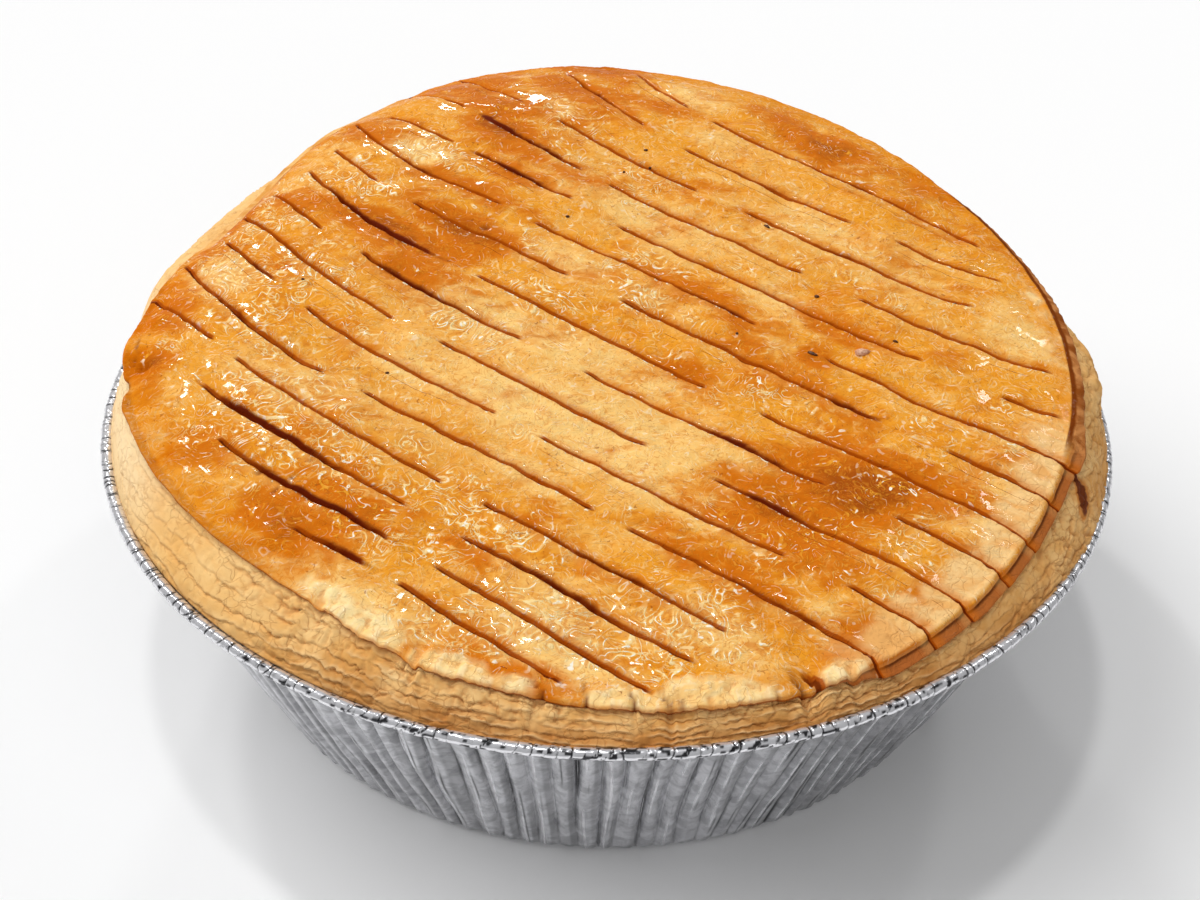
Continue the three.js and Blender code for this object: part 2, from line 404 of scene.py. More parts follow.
def rowLine(row, along):
    # how far across the pie a row of cuts lies, at a distance along it; the knife wandered a little
    across, (leftFrom, leftRise), (rightFrom, rightRise) = row[:3]
    left = np.maximum(0, leftFrom - along) / (leftFrom - slashes["leftReach"])
    right = np.maximum(0, along - rightFrom) / (slashes["rightReach"] - rightFrom)
    wander = 0.3 * wavy(along / 6.5, across * 3.7, 11) + 0.1 * wavy(along / 1.9, across * 5.3, 12)
    return across + leftRise * left ** 2 + rightRise * right ** 2 + wander


def alongAcross(x, y):
    c, s = cos(slashes["turn"]), sin(slashes["turn"])
    return x * c + y * s, y * c - x * s


def xyFrom(along, across):
    c, s = cos(slashes["turn"]), sin(slashes["turn"])
    return along * c - across * s, along * s + across * c


def acrossFrom(level, along):
    # level counts the rows evenly; between two rows it is shared out
    lines = np.stack([rowLine(row, along) for row in slashes["rows"]])
    place = np.interp(level, rowPlaces, np.arange(len(rowPlaces)))
    k = np.minimum(place.astype(int), len(rowPlaces) - 2)
    f = place - k
    j = np.arange(along.size)
    low, high = lines[k[:, None], j], lines[k[:, None] + 1, j]
    beyond = level - np.clip(level, rowPlaces[0], rowPlaces[-1])
    return low + f[:, None] * (high - low) + beyond[:, None]


def levelFrom(across, along):
    # the other way round: which level a place has
    lines = np.stack([rowLine(row, along) for row in slashes["rows"]])
    k = np.clip((lines <= across).sum(0) - 1, 0, len(rowPlaces) - 2)
    j = np.arange(along.size)
    low, high = lines[k, j], lines[k + 1, j]
    f = np.clip((across - low) / (high - low), 0, 1)
    level = rowPlaces[k] + f * (rowPlaces[k + 1] - rowPlaces[k])
    return level + np.minimum(0, across - lines[0]) + np.maximum(0, across - lines[-1])


def cutFields(along, across, square):
    # signed distance from the nearest cut, how fully it is cut there, and the shape it gives;
    # where the strips end in square blocks their tops stay flat
    fadeFrom, fadeTo = slashes["fade"]
    dipReach = slashes["dipReach"]
    near = np.full(along.shape, 9.0)
    share = np.zeros(along.shape)
    shape = np.zeros(along.shape)
    opened = np.zeros(along.shape)
    for i, row in enumerate(slashes["rows"]):
        off = across - rowLine(row, along)
        for j, (start, end) in enumerate(row[3]):
            pick = hashed(np.int64(i), np.int64(j), 5)
            taper = slashes["taper"] * (0.7 + 0.6 * pick)
            full = ease(along, start, start + taper) * (1 - ease(along, end - taper, end))
            wide = slashes["halfWidth"] * (0.8 + 0.45 * pick) * (0.35 + 0.65 * full)
            wide = wide * (0.95 + 0.4 * wavy(along / 4.3, i * 2.9 + j, 13))
            groove = slashes["depth"] * (0.75 + 0.5 * hashed(np.int64(i), np.int64(j), 6))
            farWall = slashes["farWall"] * (0.5 + 0.5 * full) * (1 - 0.55 * square)
            reach = np.where(off > 0, farWall, wide)
            opening = full * np.exp(-(np.abs(off) / reach) ** 2.2)
            shape -= groove * opening * (1 - 0.5 * square)
            sunk = slashes["dip"] * (1 - 0.7 * square) * full ** 0.7
            shape -= sunk * np.exp(-(np.abs(off) / dipReach) ** 1.25)
            lipAt = (off + 1.9 * wide) / 0.5
            shape += slashes["lip"] * full * np.exp(-lipAt ** 2) * (1 + 0.8 * wavy(along / 1.4, off, 14))
            closer = (full > 0.02) & (np.abs(off) < np.abs(near)) & (np.abs(off) < fadeTo)
            near = np.where(closer, off, near)
            share = np.where(closer, full * (1 - ease(np.abs(off), fadeFrom, fadeTo)), share)
            opened = np.maximum(opened, opening)
    near = np.where(share > 0, near, slashes["noCut"])
    return near, share, shape, opened


# the lid piece

lidLook = {
    "step": 0.62,  # size of a mesh cell along the strips
    "half": 10,  # mesh rows from a cut to the middle of a strip
    "rim": 960,  # points round the edge
    "beyond": (24, 34),  # how far the even mesh reaches past the first and the last row
    "inner": 0.955,  # where the even mesh ends
    "firstRing": 0.962,  # where the rings of the edge begin
    "edgeSteps": 14,  # rings round the edge, from its top to its underside
    "underRings": [(0.95, 240), (0.8, 60), (0.45, 60)],  # share of the radius, points
    "edgeRound": 1.3,
    "thinTurn": (165, 238),  # where the edge is thin
    "swell": 0.7,  # height of the broad lumps
    "blister": 0.33,  # and of the small ones
    "curl": 0.17,  # and of the curly ridges
    "endsTurn": (-63, -15),  # where the strips end in square blocks, in degrees
    "flareTurn": (-19, 30),  # where the edge spreads outwards as a browned skin
    "flare": 2.4,
    "saw": 0.35,  # how far each strip's end turns away from the round edge
    "blockSlope": 2.9,  # how far the square ends slope outwards
    # raised and sunk places: x, y, half length, half width, turn in degrees, height
    "lumps": [
        (-90.5, -9, 4.5, 2.4, 84, 0.9), (-86.5, -9.5, 3, 2, 60, 0.5), (-88.2, -16.6, 1.3, 1.0, 20, -1.9),
        (-84, -19, 3, 2.6, 0, 0.5), (-88, -3, 3, 2, 40, 0.5), (-83, 3, 4, 1.5, 130, 0.4),
        (-43, -76, 9, 3.6, -38, 0.9), (-36, -80, 5, 3, -30, 0.5), (-25, -86, 8, 3, -22, 0.7),
        (-14, -89, 6, 2.5, -12, 0.4), (-30, -84, 2, 3.5, -10, -0.5), (1, -90, 5, 2.5, 0, 0.5),
        (19, -89.5, 9, 3.2, 4, 1.0), (13, -90, 3, 2.5, 20, 0.4), (26, -88.5, 4, 2.2, 20, 0.5),
        (38, -85.5, 4, 3, 35, 0.8), (43.5, -81.5, 3, 2.2, 40, 0.5), (34, -86, 2.2, 1.4, -50, -1.0)],
    # small dark pits: x, y, half length, half width, turn, strength
    "pits": [
        (-25.7, 23.6, 0.9, 0.7, 0, 1), (-62, -46, 0.8, 0.6, 30, 0.8), (-56, -47.5, 0.7, 0.5, 0, 0.7),
        (-58.5, -50, 0.9, 0.5, 60, 0.8), (-53, -44, 0.6, 0.5, 0, 0.6)],
    # short splits at the edge: from x, y to x, y, half width, depth
    "splits": [
        (-90.6, -5.5, -90.2, -14.5, 0.28, 0.6), (4, -88.5, 6.2, -93.5, 0.3, 0.8),
        (9, -89, 12.6, -93.6, 0.35, 0.9), (12, -91, 15, -92, 0.25, 0.5), (30, -83, 36.8, -91, 0.5, 1.3),
        (33, -83.5, 38, -88.5, 0.3, 0.7), (28.5, -87, 29.2, -92, 0.25, 0.6),
        (41, -84, 42.5, -86.5, 0.3, 0.6), (-3, -88, -2.4, -92.5, 0.25, 0.5),
        (-12, -88.5, -8, -91.5, 0.25, 0.4), (84, -35, 89, -37.5, 0.4, 0.8)],
    # unglazed blistered places: x, y, half length, half width, turn, strength
    "bare": [
        (-45, -74, 8, 3.2, -38, 0.8), (-38, -79.5, 6, 4, -32, 1.0), (-25, -86.5, 8, 3.4, -20, 0.95),
        (-14, -89.5, 6, 2.6, -12, 0.7), (19, -90, 12, 3.4, 3, 1.0), (4, -91.5, 7, 2.6, 0, 0.9),
        (40, -85, 6, 3.2, 38, 0.9), (88, 2, 4, 12, 0, 0.35), (86, 14, 3, 9, 15, 0.5)],
    # browned patches: along, across, half length, half width, strength
    "toast": [
        (-44, -70, 16, 7, 0.45), (-49, 60, 14, 7, 0.75), (-45, 1, 9, 4, 0.35), (-4, 41, 11, 5, 0.3),
        (70, -49, 8, 5, 0.15), (64, -10, 11, 6, 1.2), (-74, -8, 6, 10, 0.35), (38, 50, 16, 4, 0.3),
        (14, 77, 30, 5, 0.3),
        (-60, 47, 22, 8, 0.6), (-68, 56, 15, 8, 0.55), (-52, 75, 15, 7, 0.75), (-30, 66, 9, 4, 0.4),
        (8, 76, 18, 7, 0.75), (32, 78, 14, 6, 0.45), (-52, 37, 14, 5, 0.72), (-40, 33, 20, 4, 0.5),
        (-42, 25, 12, 4, 0.6), (-45, 15, 15, 4, 0.55), (-40, 4, 14, 5, 0.9), (-50, -5, 18, 5, 0.9),
        (-40, -12, 18, 8, 0.45), (-76, 22, 8, 10, 0.45), (-82, -18, 6, 14, 0.5), (-72, -46, 11, 8, 0.6),
        (-66, -60, 6, 5, 0.8), (-58, -24, 10, 4, 0.3), (40, 23, 15, 4, 0.6), (16, 15, 18, 6, 0.5),
        (38, 13, 4, 4, 0.7), (30, 8, 14, 10, 0.4), (48, 4, 18, 5, 0.45), (22, -5, 7, 5, 0.6),
        (4, 1, 8, 4, 0.25), (64, -4, 14, 6, 0.75), (60, -14, 14, 9, 0.85), (55, -25, 18, 7, 0.7),
        (54, -34, 16, 5, 0.6), (74, -8, 9, 12, 0.5), (52, -44, 16, 6, 0.55), (80, -42, 9, 8, 0.7),
        (82, -24, 5, 14, 0.4), (30, -56, 20, 4, 0.4), (-20, -64, 24, 4, 0.3), (-17, -78, 13, 7, 0.7),
        (-10, -70, 16, 8, 0.5), (36, -83, 13, 5, 0.6), (20, -66, 16, 4, 0.4), (45, -16, 14, 3, 0.4),
        (-26, 15, 8, 3, 0.4), (62, 24, 16, 6, 0.25), (45, 66, 14, 6, 0.3), (-40, -36, 18, 4, 0.25)],
    # darkest, almost burnt parts of the cuts: row, middle along it, half length, strength
    "burnt": [
        (-64, -33, 15, 1), (-6.4, -53, 17, 1), (-16.8, -36, 14, 0.75), (-16.8, 40, 11, 0.7),
        (33.3, -52, 7, 1), (24, -41, 9, 0.9), (-71.9, -16, 17, 0.95), (-78.4, -4, 7, 0.7),
        (-26.6, 50, 10, 0.7), (-64, 30, 17, 0.6), (14.2, 16, 9, 0.5), (4.3, 51, 6, 0.6),
        (-36.6, -64, 7, 0.5), (-45.9, -60, 14, 0.4), (-45.9, 58, 16, 0.4), (-36.6, 45, 12, 0.4),
        (54.2, -42, 8, 0.5), (66.2, 20, 14, 0.3), (43.2, 30, 16, 0.3),
        (54.2, -2, 14, 0.35), (33.3, -40, 12, 0.6), (14.2, -60, 10, 0.5), (-55.9, 34, 16, 0.5)],
    # pale, creamy places
    "cream": [
        (9, 35, 10, 5, 0.3), (-17, -36, 12, 5, 0.7), (24, -35, 13, 5, 0.75), (4, 8, 9, 4, 0.6),
        (-24, 74, 9, 5, 0.6), (12, -45, 12, 5, 0.7),
        (36, -73, 14, 7, 0.95), (46, -62, 12, 5, 0.5), (-14, 8, 12, 5, 0.6), (24, 24, 16, 6, 0.4),
        (-8, -15, 20, 9, 0.8), (10, -30, 32, 13, 0.9), (-6, 30, 30, 12, 0.45), (22, 45, 32, 10, 0.5),
        (-62, 20, 10, 5, 0.9), (-48, 50, 12, 5, 0.6), (-70, -33, 8, 6, 0.8), (-60, -64, 8, 5, 0.3),
        (58, -57, 14, 5, 0.5), (73, -42, 8, 4, 0.6), (68, 44, 12, 8, 0.6), (-10, 61, 12, 6, 0.5),
        (4, -85, 20, 5, 0.75), (-30, -50, 16, 8, 0.5), (28, -24, 6, 16, 0.5), (-20, -90, 20, 5, 0.3),
        (82, 5, 8, 20, 0.5), (20, -12, 14, 6, 0.5), (-80, 5, 8, 14, 0.3), (50, 36, 20, 8, 0.3)],
    # where the glaze dried in fine loops, whose ridges the finish paints as highlights
    "loops": [
        (3, 7, 12, 6, 0.9), (-25, 6, 9, 5, 0.6), (-12, -4, 10, 5, 0.7), (-20, -19, 12, 6, 0.8),
        (0, 17, 8, 5, 0.7), (24, -80, 14, 8, 0.9), (32, -71, 12, 7, 0.9), (48, -65, 16, 9, 1.0),
        (55, -55, 14, 8, 0.9), (-30, -60, 22, 12, 1.0), (-60, -30, 16, 14, 1.0), (-74, -20, 10, 22, 0.9),
        (-50, -44, 18, 8, 0.7), (10, -60, 24, 7, 0.8), (-8, -68, 20, 8, 0.8), (-60, 22, 12, 6, 0.9),
        (62, -30, 14, 10, 0.5), (74, -12, 10, 14, 0.5), (76, 20, 10, 16, 0.45), (36, 0, 16, 8, 0.4),
        (-46, 48, 14, 7, 0.8), (-66, 4, 12, 8, 0.8), (30, 36, 16, 7, 0.35), (-20, 40, 14, 6, 0.4)],
    # slightly green and grey, where the filling's fat shows through
    "drab": [
        (-30, -47, 18, 8, 0.6), (-10, -50, 20, 9, 0.8), (-40, -20, 16, 8, 0.5), (30, 40, 22, 8, 0.45),
        (-30, 35, 14, 6, 0.35), (20, -20, 16, 6, 0.35), (-50, 8, 14, 5, 0.3), (12, 72, 16, 6, 0.3)],
    # where the edge is pushed out or pulled in: place and half width in degrees, and how far
    "notches": [
        (192.8, 1.1, -2.2), (186, 3.4, 0.7), (196.5, 2, 0.5), (242, 5, 0.5), (252, 4, 0.5),
        (247.5, 1.2, -0.7), (281, 5, 0.5), (291, 1.2, -0.8), (296, 3, 0.4)],
}


def blockShare(angle):
    start, end = lidLook["endsTurn"]
    return within(angle, start, end, 8)


def turnedSpots(x, y, places):
    # spots that lie at an angle; the strongest one counts
    total = np.zeros(np.shape(x))
    for cx, cy, rx, ry, turn, strength in places:
        c, s = cos(radians(turn)), sin(radians(turn))
        u, v = (x - cx) * c + (y - cy) * s, (y - cy) * c - (x - cx) * s
        spot = strength * np.exp(-((u / rx) ** 2 + (v / ry) ** 2) ** 1.5)
        total = np.where(np.abs(spot) > np.abs(total), spot, total)
    return total


def splitFields(x, y):
    # short cracks at the edge: how open, and how deep
    opened, depth = np.zeros(np.shape(x)), np.zeros(np.shape(x))
    for x0, y0, x1, y1, wide, deep in lidLook["splits"]:
        length = np.hypot(x1 - x0, y1 - y0)
        u = ((x - x0) * (x1 - x0) + (y - y0) * (y1 - y0)) / length
        v = ((y - y0) * (x1 - x0) - (x - x0) * (y1 - y0)) / length
        v = v + 0.35 * wavy(u / 1.3, x0, 65)
        full = ease(u, -0.6, length * 0.5) * (1 - ease(u, length, length + 1.2))
        shape = full * np.exp(-(v / wide) ** 2)
        opened = np.maximum(opened, shape)
        depth = np.maximum(depth, deep * shape)
    return opened, depth


def burntShare(along, across):
    total = np.zeros(np.shape(along))
    for place, middle, half, strength in lidLook["burnt"]:
        row = next(row for row in slashes["rows"] if row[0] == place)
        off = across - rowLine(row, along)
        part = np.exp(-((along - middle) / half) ** 2) * np.exp(-((off - 0.25) / 0.8) ** 2)
        total = np.maximum(total, strength * part)
    return total


def lidRelief(x, y):
    # height added to the plain top, and the fields that the finish reads
    angle = np.arctan2(y, x)
    share = np.minimum(shareOut(x, y), 1)
    along, across = alongAcross(x, y)
    blocks = blockShare(angle)
    near, cutShare, shape, opened = cutFields(along, across, blocks * ease(share, 0.82, 0.95))
    rim = ease(share, 0.9, 0.985)
    toast = spots(along, across, lidLook["toast"])
    rolling = lidLook["swell"] * layered(along / 1.6, across, 17, 2, 21) * (1 - 0.5 * rim)
    patch = 0.55 + 0.45 * layered(along / 1.5, across, 14, 2, 24)
    blister = lidLook["blister"] * layered(along / 1.35, across, 5.6, 2, 27) * (0.6 + 0.4 * patch)
    curls = creased(along, across, 2.1, 33, 0.9) - 0.4
    finer = creased(along, across, 1.25, 36, 0.8) - 0.4
    curl = lidLook["curl"] * (0.35 + 0.65 * patch) * (0.75 * curls + 0.4 * finer)
    bare = turnedSpots(x, y, lidLook["bare"])
    bare = ease(bare + 0.3 * layered(x, y, 3.4, 2, 47), 0.25, 0.75)
    blisters = 1.1 * (0.4 - np.abs(layered(x, y, 2.9, 2, 48)) ** 0.8)
    puff = bare * (blisters + 0.25 * (0.3 - np.abs(wavy(x / 1.5, y / 1.5, 50))))
    lumps = turnedSpots(x, y, lidLook["lumps"])
    splitOpen, splitDepth = splitFields(x, y)
    pits = turnedSpots(x, y, lidLook["pits"])
    splitOpen, splitDepth = np.maximum(splitOpen, pits), splitDepth + 0.45 * pits
    turned = np.degrees(angle) % 360
    # the glazed skin ends in a brown line at the left
    hem = ease(turned, 186, 194) * (1 - ease(turned, 226, 240))
    hem = hem + 0.8 * ease(turned, 164, 169) * (1 - ease(turned, 176, 184))
    # the sheet under the glazed one shows at the back left
    sheetAt = 0.966 + 0.01 * wavy(angle * 8, 0 * angle, 66)
    sheet = ease(turned, 114, 128) * (1 - ease(turned, 160, 168))
    hemLine = 0.8 * sheet * np.exp(-((share - sheetAt) / 0.003) ** 2)
    sheet = sheet * ease(share, sheetAt, sheetAt + 0.005)
    quiet = 1 - 0.5 * opened
    height = rolling + shape * (1 - 0.35 * rim * (1 - blocks)) + (blister + curl) * quiet
    height += lumps + puff - splitDepth - 0.15 * hemLine - 0.5 * sheet
    cream = spots(along, across, lidLook["cream"])
    drift = 0.03 * layered(along / 1.5, across, 6, 3, 49)
    fields = {
        "cutSide": near,
        "cutShare": cutShare,
        "opened": np.maximum(opened, splitOpen),
        "toast": toast + 0.16 * layered(along / 1.6, across, 9, 3, 41),
        "burnt": burntShare(along, across),
        "cream": cream + 0.2 * layered(along / 1.6, across, 12, 3, 44),
        "drab": spots(along, across, lidLook["drab"]),
        "gloss": patch,
        "loops": spots(along, across, lidLook["loops"]) + 0.25 * layered(along / 1.3, across, 9, 2, 45),
        "rim": rim,
        "block": blocks * ease(share + drift, 0.9, 0.935),
        "bare": bare,
        "puff": puff,
        "split": splitOpen,
        "hem": np.maximum(hemLine, hem * ease(share, 0.991, 0.996)),
        "sheet": sheet,
        "skin": within(angle, lidLook["flareTurn"][0] + 1, lidLook["flareTurn"][1] + 3, 6),
    }
    return height, fields


def levelLines():
    # mesh rows, close together beside each line of cuts
    half = lidLook["half"]
    levels = [rowPlaces[0]]
    for low, high in zip(rowPlaces[:-1], rowPlaces[1:]):
        grow = (np.arange(1, half + 1) / half) ** 1.45 * (high - low) / 2
        levels += (low + grow).tolist() + (high - grow[::-1][1:]).tolist() + [high]
    before, after = lidLook["beyond"]
    below = np.arange(rowPlaces[0] - before, rowPlaces[0] - 0.2, 0.5)
    above = np.arange(rowPlaces[-1] + 0.5, rowPlaces[-1] + after, 0.5)
    return np.concatenate([below, levels, above])


def evenMesh():
    # the cells of the top that follow the strips, in plan
    levels = levelLines()
    along = np.arange(-100, 100, lidLook["step"])
    across = acrossFrom(levels, along)
    x, y = xyFrom(along[None, :], across)
    inside = shareOut(x, y) < lidLook["inner"]
    kept = inside[:-1, :-1] & inside[1:, :-1] & inside[:-1, 1:] & inside[1:, 1:]
    i, j = np.nonzero(kept)
    wide = along.size
    corner = i * wide + j
    corners = np.column_stack([corner, corner + 1, corner + wide + 1, corner + wide])
    used, back = np.unique(corners, return_inverse=True)
    faces = back.reshape(corners.shape)
    return x.ravel()[used], y.ravel()[used], faces, kept, levels, along


def openEdges(faces):
    # edges that only one face has
    pairs = np.vstack([faces[:, [k, (k + 1) % 4]] for k in range(4)])
    keys = np.sort(pairs, axis=1)
    first, count = np.unique(keys, axis=0, return_index=True, return_counts=True)[1:]
    return pairs[first[count == 1]]


def bridge(x, y, faces, kept, levels, along, ringX, ringY, ringStart):
    # triangles between the even mesh and the first ring of the edge
    border = openEdges(faces)
    ids = np.unique(border)
    index = {int(v): k for k, v in enumerate(ids)}
    inner = [Vector((x[v], y[v])) for v in ids]
    outer = [Vector(p) for p in zip(ringX, ringY)]
    n, m = len(inner), len(outer)
    edges = [(index[int(a)], index[int(b)]) for a, b in border]
    edges += [(n + k, n + (k + 1) % m) for k in range(m)]
    made = delaunay_2d_cdt(inner + outer, edges, [], 0, 1e-6)
    points, triangles, origin = made[0], made[2], made[3]
    names = [int(ids[o[0]]) if o[0] < n else ringStart + o[0] - n for o in origin]
    px = np.array([p.x for p in points])
    py = np.array([p.y for p in points])
    tri = np.array(triangles)
    cx, cy = px[tri].mean(1), py[tri].mean(1)
    a, c = alongAcross(cx, cy)
    level = levelFrom(c, a)
    i = np.clip(np.searchsorted(levels, level) - 1, 0, kept.shape[0] - 1)
    j = np.clip(np.searchsorted(along, a) - 1, 0, kept.shape[1] - 1)
    limit = shareOut(ringX, ringY).min()
    onRing = np.array([name >= ringStart for name in names])[tri]
    free = (~kept[i, j]) | onRing.any(1)
    # triangles that only span a dent of the ring lie outside it
    spare = np.where(onRing.all(1), 0, 0.0006)
    good = free & (shareOut(cx, cy) < limit + spare)
    turn = (px[tri[:, 1]] - px[tri[:, 0]]) * (py[tri[:, 2]] - py[tri[:, 0]])
    turn -= (py[tri[:, 1]] - py[tri[:, 0]]) * (px[tri[:, 2]] - px[tri[:, 0]])
    good &= np.abs(turn) > 1e-7
    result = []
    for t, positive in zip(tri[good], turn[good] > 0):
        face = [names[k] for k in t]
        result.append(face if positive else face[::-1])
    return result


def thinShare(angle):
    return within(angle, *lidLook["thinTurn"], 24)


def edgeThickness(angle):
    return 1.7 + 0.5 * blockShare(angle) - 0.85 * thinShare(angle)


def edgeRound(angle):
    return lidLook["edgeRound"] * (1 - 0.5 * thinShare(angle) - 0.35 * blockShare(angle))


def edgeInset(angle):
    # the square ends slope outwards, so the top stops further in
    return edgeRound(angle) + 1.2 * blockShare(angle)


def stripStep(angle, level):
    # each strip's end stands in or out a little, and turns away from the round edge
    k = np.clip(np.searchsorted(rowPlaces, level), 1, len(rowPlaces) - 1)
    part = (level - rowPlaces[k - 1]) / (rowPlaces[k] - rowPlaces[k - 1])
    stand = 0.5 * (hashed(k, k * 0, 61) - 0.5)
    return blockShare(angle) * (stand + lidLook["saw"] * (0.5 - np.clip(part, 0, 1)))


def edgeNotch(angle):
    turned = np.degrees(angle) % 360
    total = np.zeros(angle.shape)
    for at, wide, push in lidLook["notches"]:
        total = total + push * np.exp(-((turned - at) / wide) ** 2)
    return total


def buildLidPiece(finish):
    p = Points()
    x, y, faces, kept, levels, along = evenMesh()
    height, fields = lidRelief(x, y)
    p.add(x, y, lidTop(x, y) + height)
    p.faces += faces.tolist()
    gathered = [fields]
    angle = np.arange(lidLook["rim"]) * fullTurn / lidLook["rim"]
    radius = lidRadius(angle)
    inset = edgeInset(angle) / radius

    def topRing(share):
        rx, ry = radius * share * np.cos(angle), radius * share * np.sin(angle)
        rise, found = lidRelief(rx, ry)
        gathered.append(found)
        return rx, ry, lidTop(rx, ry) + rise

    rings = []
    begin = lidLook["firstRing"]
    for t in (0, 0.25, 0.5, 0.75, 1):
        share = begin + (1 - inset - begin) * t
        rx, ry, rz = topRing(share)
        rings.append(p.add(rx, ry, rz))
    firstX, firstY = p.rows[1][:, 0], p.rows[1][:, 1]
    p.faces += bridge(x, y, faces, kept, levels, along, firstX, firstY, int(rings[0][0]))
    # round the edge, from its top to its underside
    a, c = alongAcross(rx, ry)
    level = levelFrom(c, a)
    blocks = blockShare(angle)
    thick = edgeThickness(angle)
    power = 1 - 0.62 * blocks - 0.3 * thinShare(angle)
    base = radius - edgeInset(angle)
    arc = angle * radius
    last = gathered[-1]
    corner = last["cutShare"] * np.exp(-(last["cutSide"] / 0.5) ** 2) * blocks
    towardsBack = ease((np.degrees(angle) + 180) % 360, 183, 205)
    flare = lidLook["flare"] * within(angle, *lidLook["flareTurn"], 14) * (1 - 0.5 * towardsBack)
    folds = np.abs(wavy(arc / 3.1, 0 * arc, 74)) + 0.5 * wavy(arc / 1.3, 0 * arc, 75)
    steps = lidLook["edgeSteps"]
    for k in range(1, steps + 1):
        turn = pi * k / steps
        out = np.abs(sin(turn)) ** power
        fall = np.sign(cos(turn)) * np.abs(cos(turn)) ** power
        down = (1 - fall) / 2
        seam = 0.55 * blocks * np.exp(-((down - 0.5) * thick / 0.35) ** 2)
        ragged = 0.16 * layered(arc, k * 0.7 + 0 * angle, 3.2, 3, 71)
        spread = flare * (down * (1 - ease(down, 0.9, 1)) + 0.25 * folds * down * (1 - down) * 4)
        stand = edgeRound(angle) + stripStep(angle, level) + ragged - seam - 0.4 * corner
        notch = edgeNotch(angle) + 0.5 * within(angle, 175, 232, 20)
        r = base + stand * out + lidLook["blockSlope"] * blocks * down
        r = r + notch * out + spread - 0.8 * last["split"] * out
        z = rz - thick * down - 0.3 * corner * (1 - down)
        rings.append(p.add(r * np.cos(angle), r * np.sin(angle), z))
        copy = {key: values.copy() for key, values in last.items()}
        copy["rim"] = 1 + 0 * angle + down
        gathered.append(copy)
    floorZ = z
    for share, count in lidLook["underRings"]:
        turn = np.arange(count) * fullTurn / count
        r = lidRadius(turn) * share
        rx, ry = r * np.cos(turn), r * np.sin(turn)
        rings.append(p.add(rx, ry, lidUnder(rx, ry)))
        gathered.append({key: np.zeros(count) for key in fields})
    for inner, outer in zip(rings[:-1], rings[1:]):
        p.strip(outer, inner)
    p.cap(rings[-1], 0, 0, lidUnder(0.0, 0.0), False)
    gathered.append({key: np.zeros(1) for key in fields})
    joined = {key: np.concatenate([g[key] for g in gathered]) for key in fields}
    return makePiece("pastry_lid_top", p.xyz(), p.faces, finish, joined), angle, floorZ


# screen colours, 0 to 255; where there are two, the finish mixes them
glazeColours = {
    "golden": (237, 157, 38),
    "cream": (252, 206, 124),
    "honey": (228, 140, 26),
    "drab": (222, 166, 84),
    "amber": (210, 110, 2),
    "brown": (152, 68, 0),
    "burnt": (104, 28, 0),
    # the dried loops: pale ridges and glints are painted highlights, the troughs painted shade
    "ridge": ((255, 226, 162), (238, 162, 46)),  # on pale and on browned glaze
    "troughShade": (206, 108, 14),
    "fineTroughShade": (208, 120, 26),
    "paintedGlint": (255, 250, 234),
    "hairline": (160, 84, 14),
    "fleck": (150, 72, 8),
    "bare": ((255, 232, 172), (254, 206, 130)),
    # painted shade in the blisters' hollows and painted highlight on their tops
    "blisterShade": (210, 140, 70),
    "blisterHighlight": (255, 230, 180),
    "bareCrack": (206, 134, 62),
    "block": ((250, 208, 144), (240, 178, 104)),
    "blockCrack": (218, 150, 80),
    "sheet": ((244, 200, 130), (222, 158, 80)),
    "face": ((212, 124, 36), (200, 126, 64)),  # of the round edge, and of the square ends
    "under": ((156, 74, 16), (178, 98, 44)),
    "layerSeam": (96, 42, 12),
    "hem": (140, 56, 6),
    "skin": ((146, 76, 24), (206, 138, 78)),
    "skinEdge": (120, 54, 8),
    # beside each cut: painted light on the strip, a painted shadow, the browned wall, a dark bottom line
    # browned and darkened with painted shade, and painted highlight dots on the lip
    "paintedLitBand": (252, 208, 130),
    "shadow": (206, 106, 8),
    "wall": (172, 76, 4),
    "line": (92, 24, 0),
    "paintedHighlightDots": (255, 240, 206),
    "split": (120, 52, 12),
}


def driedLoops(f, toast):
    # the glaze dried in fine loops, raised a little by the bump: the pale ridges and glints are painted
    # highlights, the amber between them painted shade
    c = glazeColours
    pale = f.mix(f.span(toast, 0.1, 0.5), *c["ridge"])
    thick = f.noise(5, 1.5, 0.5, 0.8)
    glossy = f.span(f.field("loops") + (thick - 0.5) * 2.4, 0.25, 0.75)
    broad = f.waves(f.noise(6.0, 1.2, 0.5, 1.2), 8)
    broadRidge = f.span(broad, 0.55, 0.95) * f.span(f.noise(2.4, 1.5, 0.5, 0.4), 0.38, 0.56)
    middle = f.waves(f.noise(3.4, 1.0, 0.5, 1.5), 5)
    middleRidge = f.span(middle, 0.6, 0.95) * f.span(f.noise(3.1, 1.5, 0.5, 0.4), 0.44, 0.6)
    fine = f.waves(f.noise(3.0, 1.2, 0.5, 1.6), 5)
    broken = f.span(f.noise(1.9, 1.5, 0.5, 0.3), 0.46, 0.58)
    fineRidge = f.span(fine, 0.62, 0.95) * broken
    # painted shade in the fine troughs, then painted highlight on the fine ridges
    f.over(f.span(fine, -0.7, -0.97) * (1 - broken) * 0.5, c["fineTroughShade"])
    f.over(fineRidge * (0.3 + glossy * 0.5), pale)
    # painted shade in the broad troughs, then painted highlight on the broad and middle ridges
    f.over(f.span(broad, 0.1, -0.8) * glossy * 0.42, c["troughShade"])
    f.over((broadRidge + middleRidge * 0.7) * (0.24 + glossy * 0.72), pale)
    # painted glints on the crests of the broad ridges
    paintedGlint = f.span(broad, 0.84, 0.96) * f.span(f.noise(1.4, 1.0, 0.5, 0.5), 0.52, 0.6)
    f.over(paintedGlint * (0.25 + glossy * 0.75), c["paintedGlint"])
    return broadRidge * glossy * 0.7 + middleRidge * 0.4 + fineRidge * 0.35


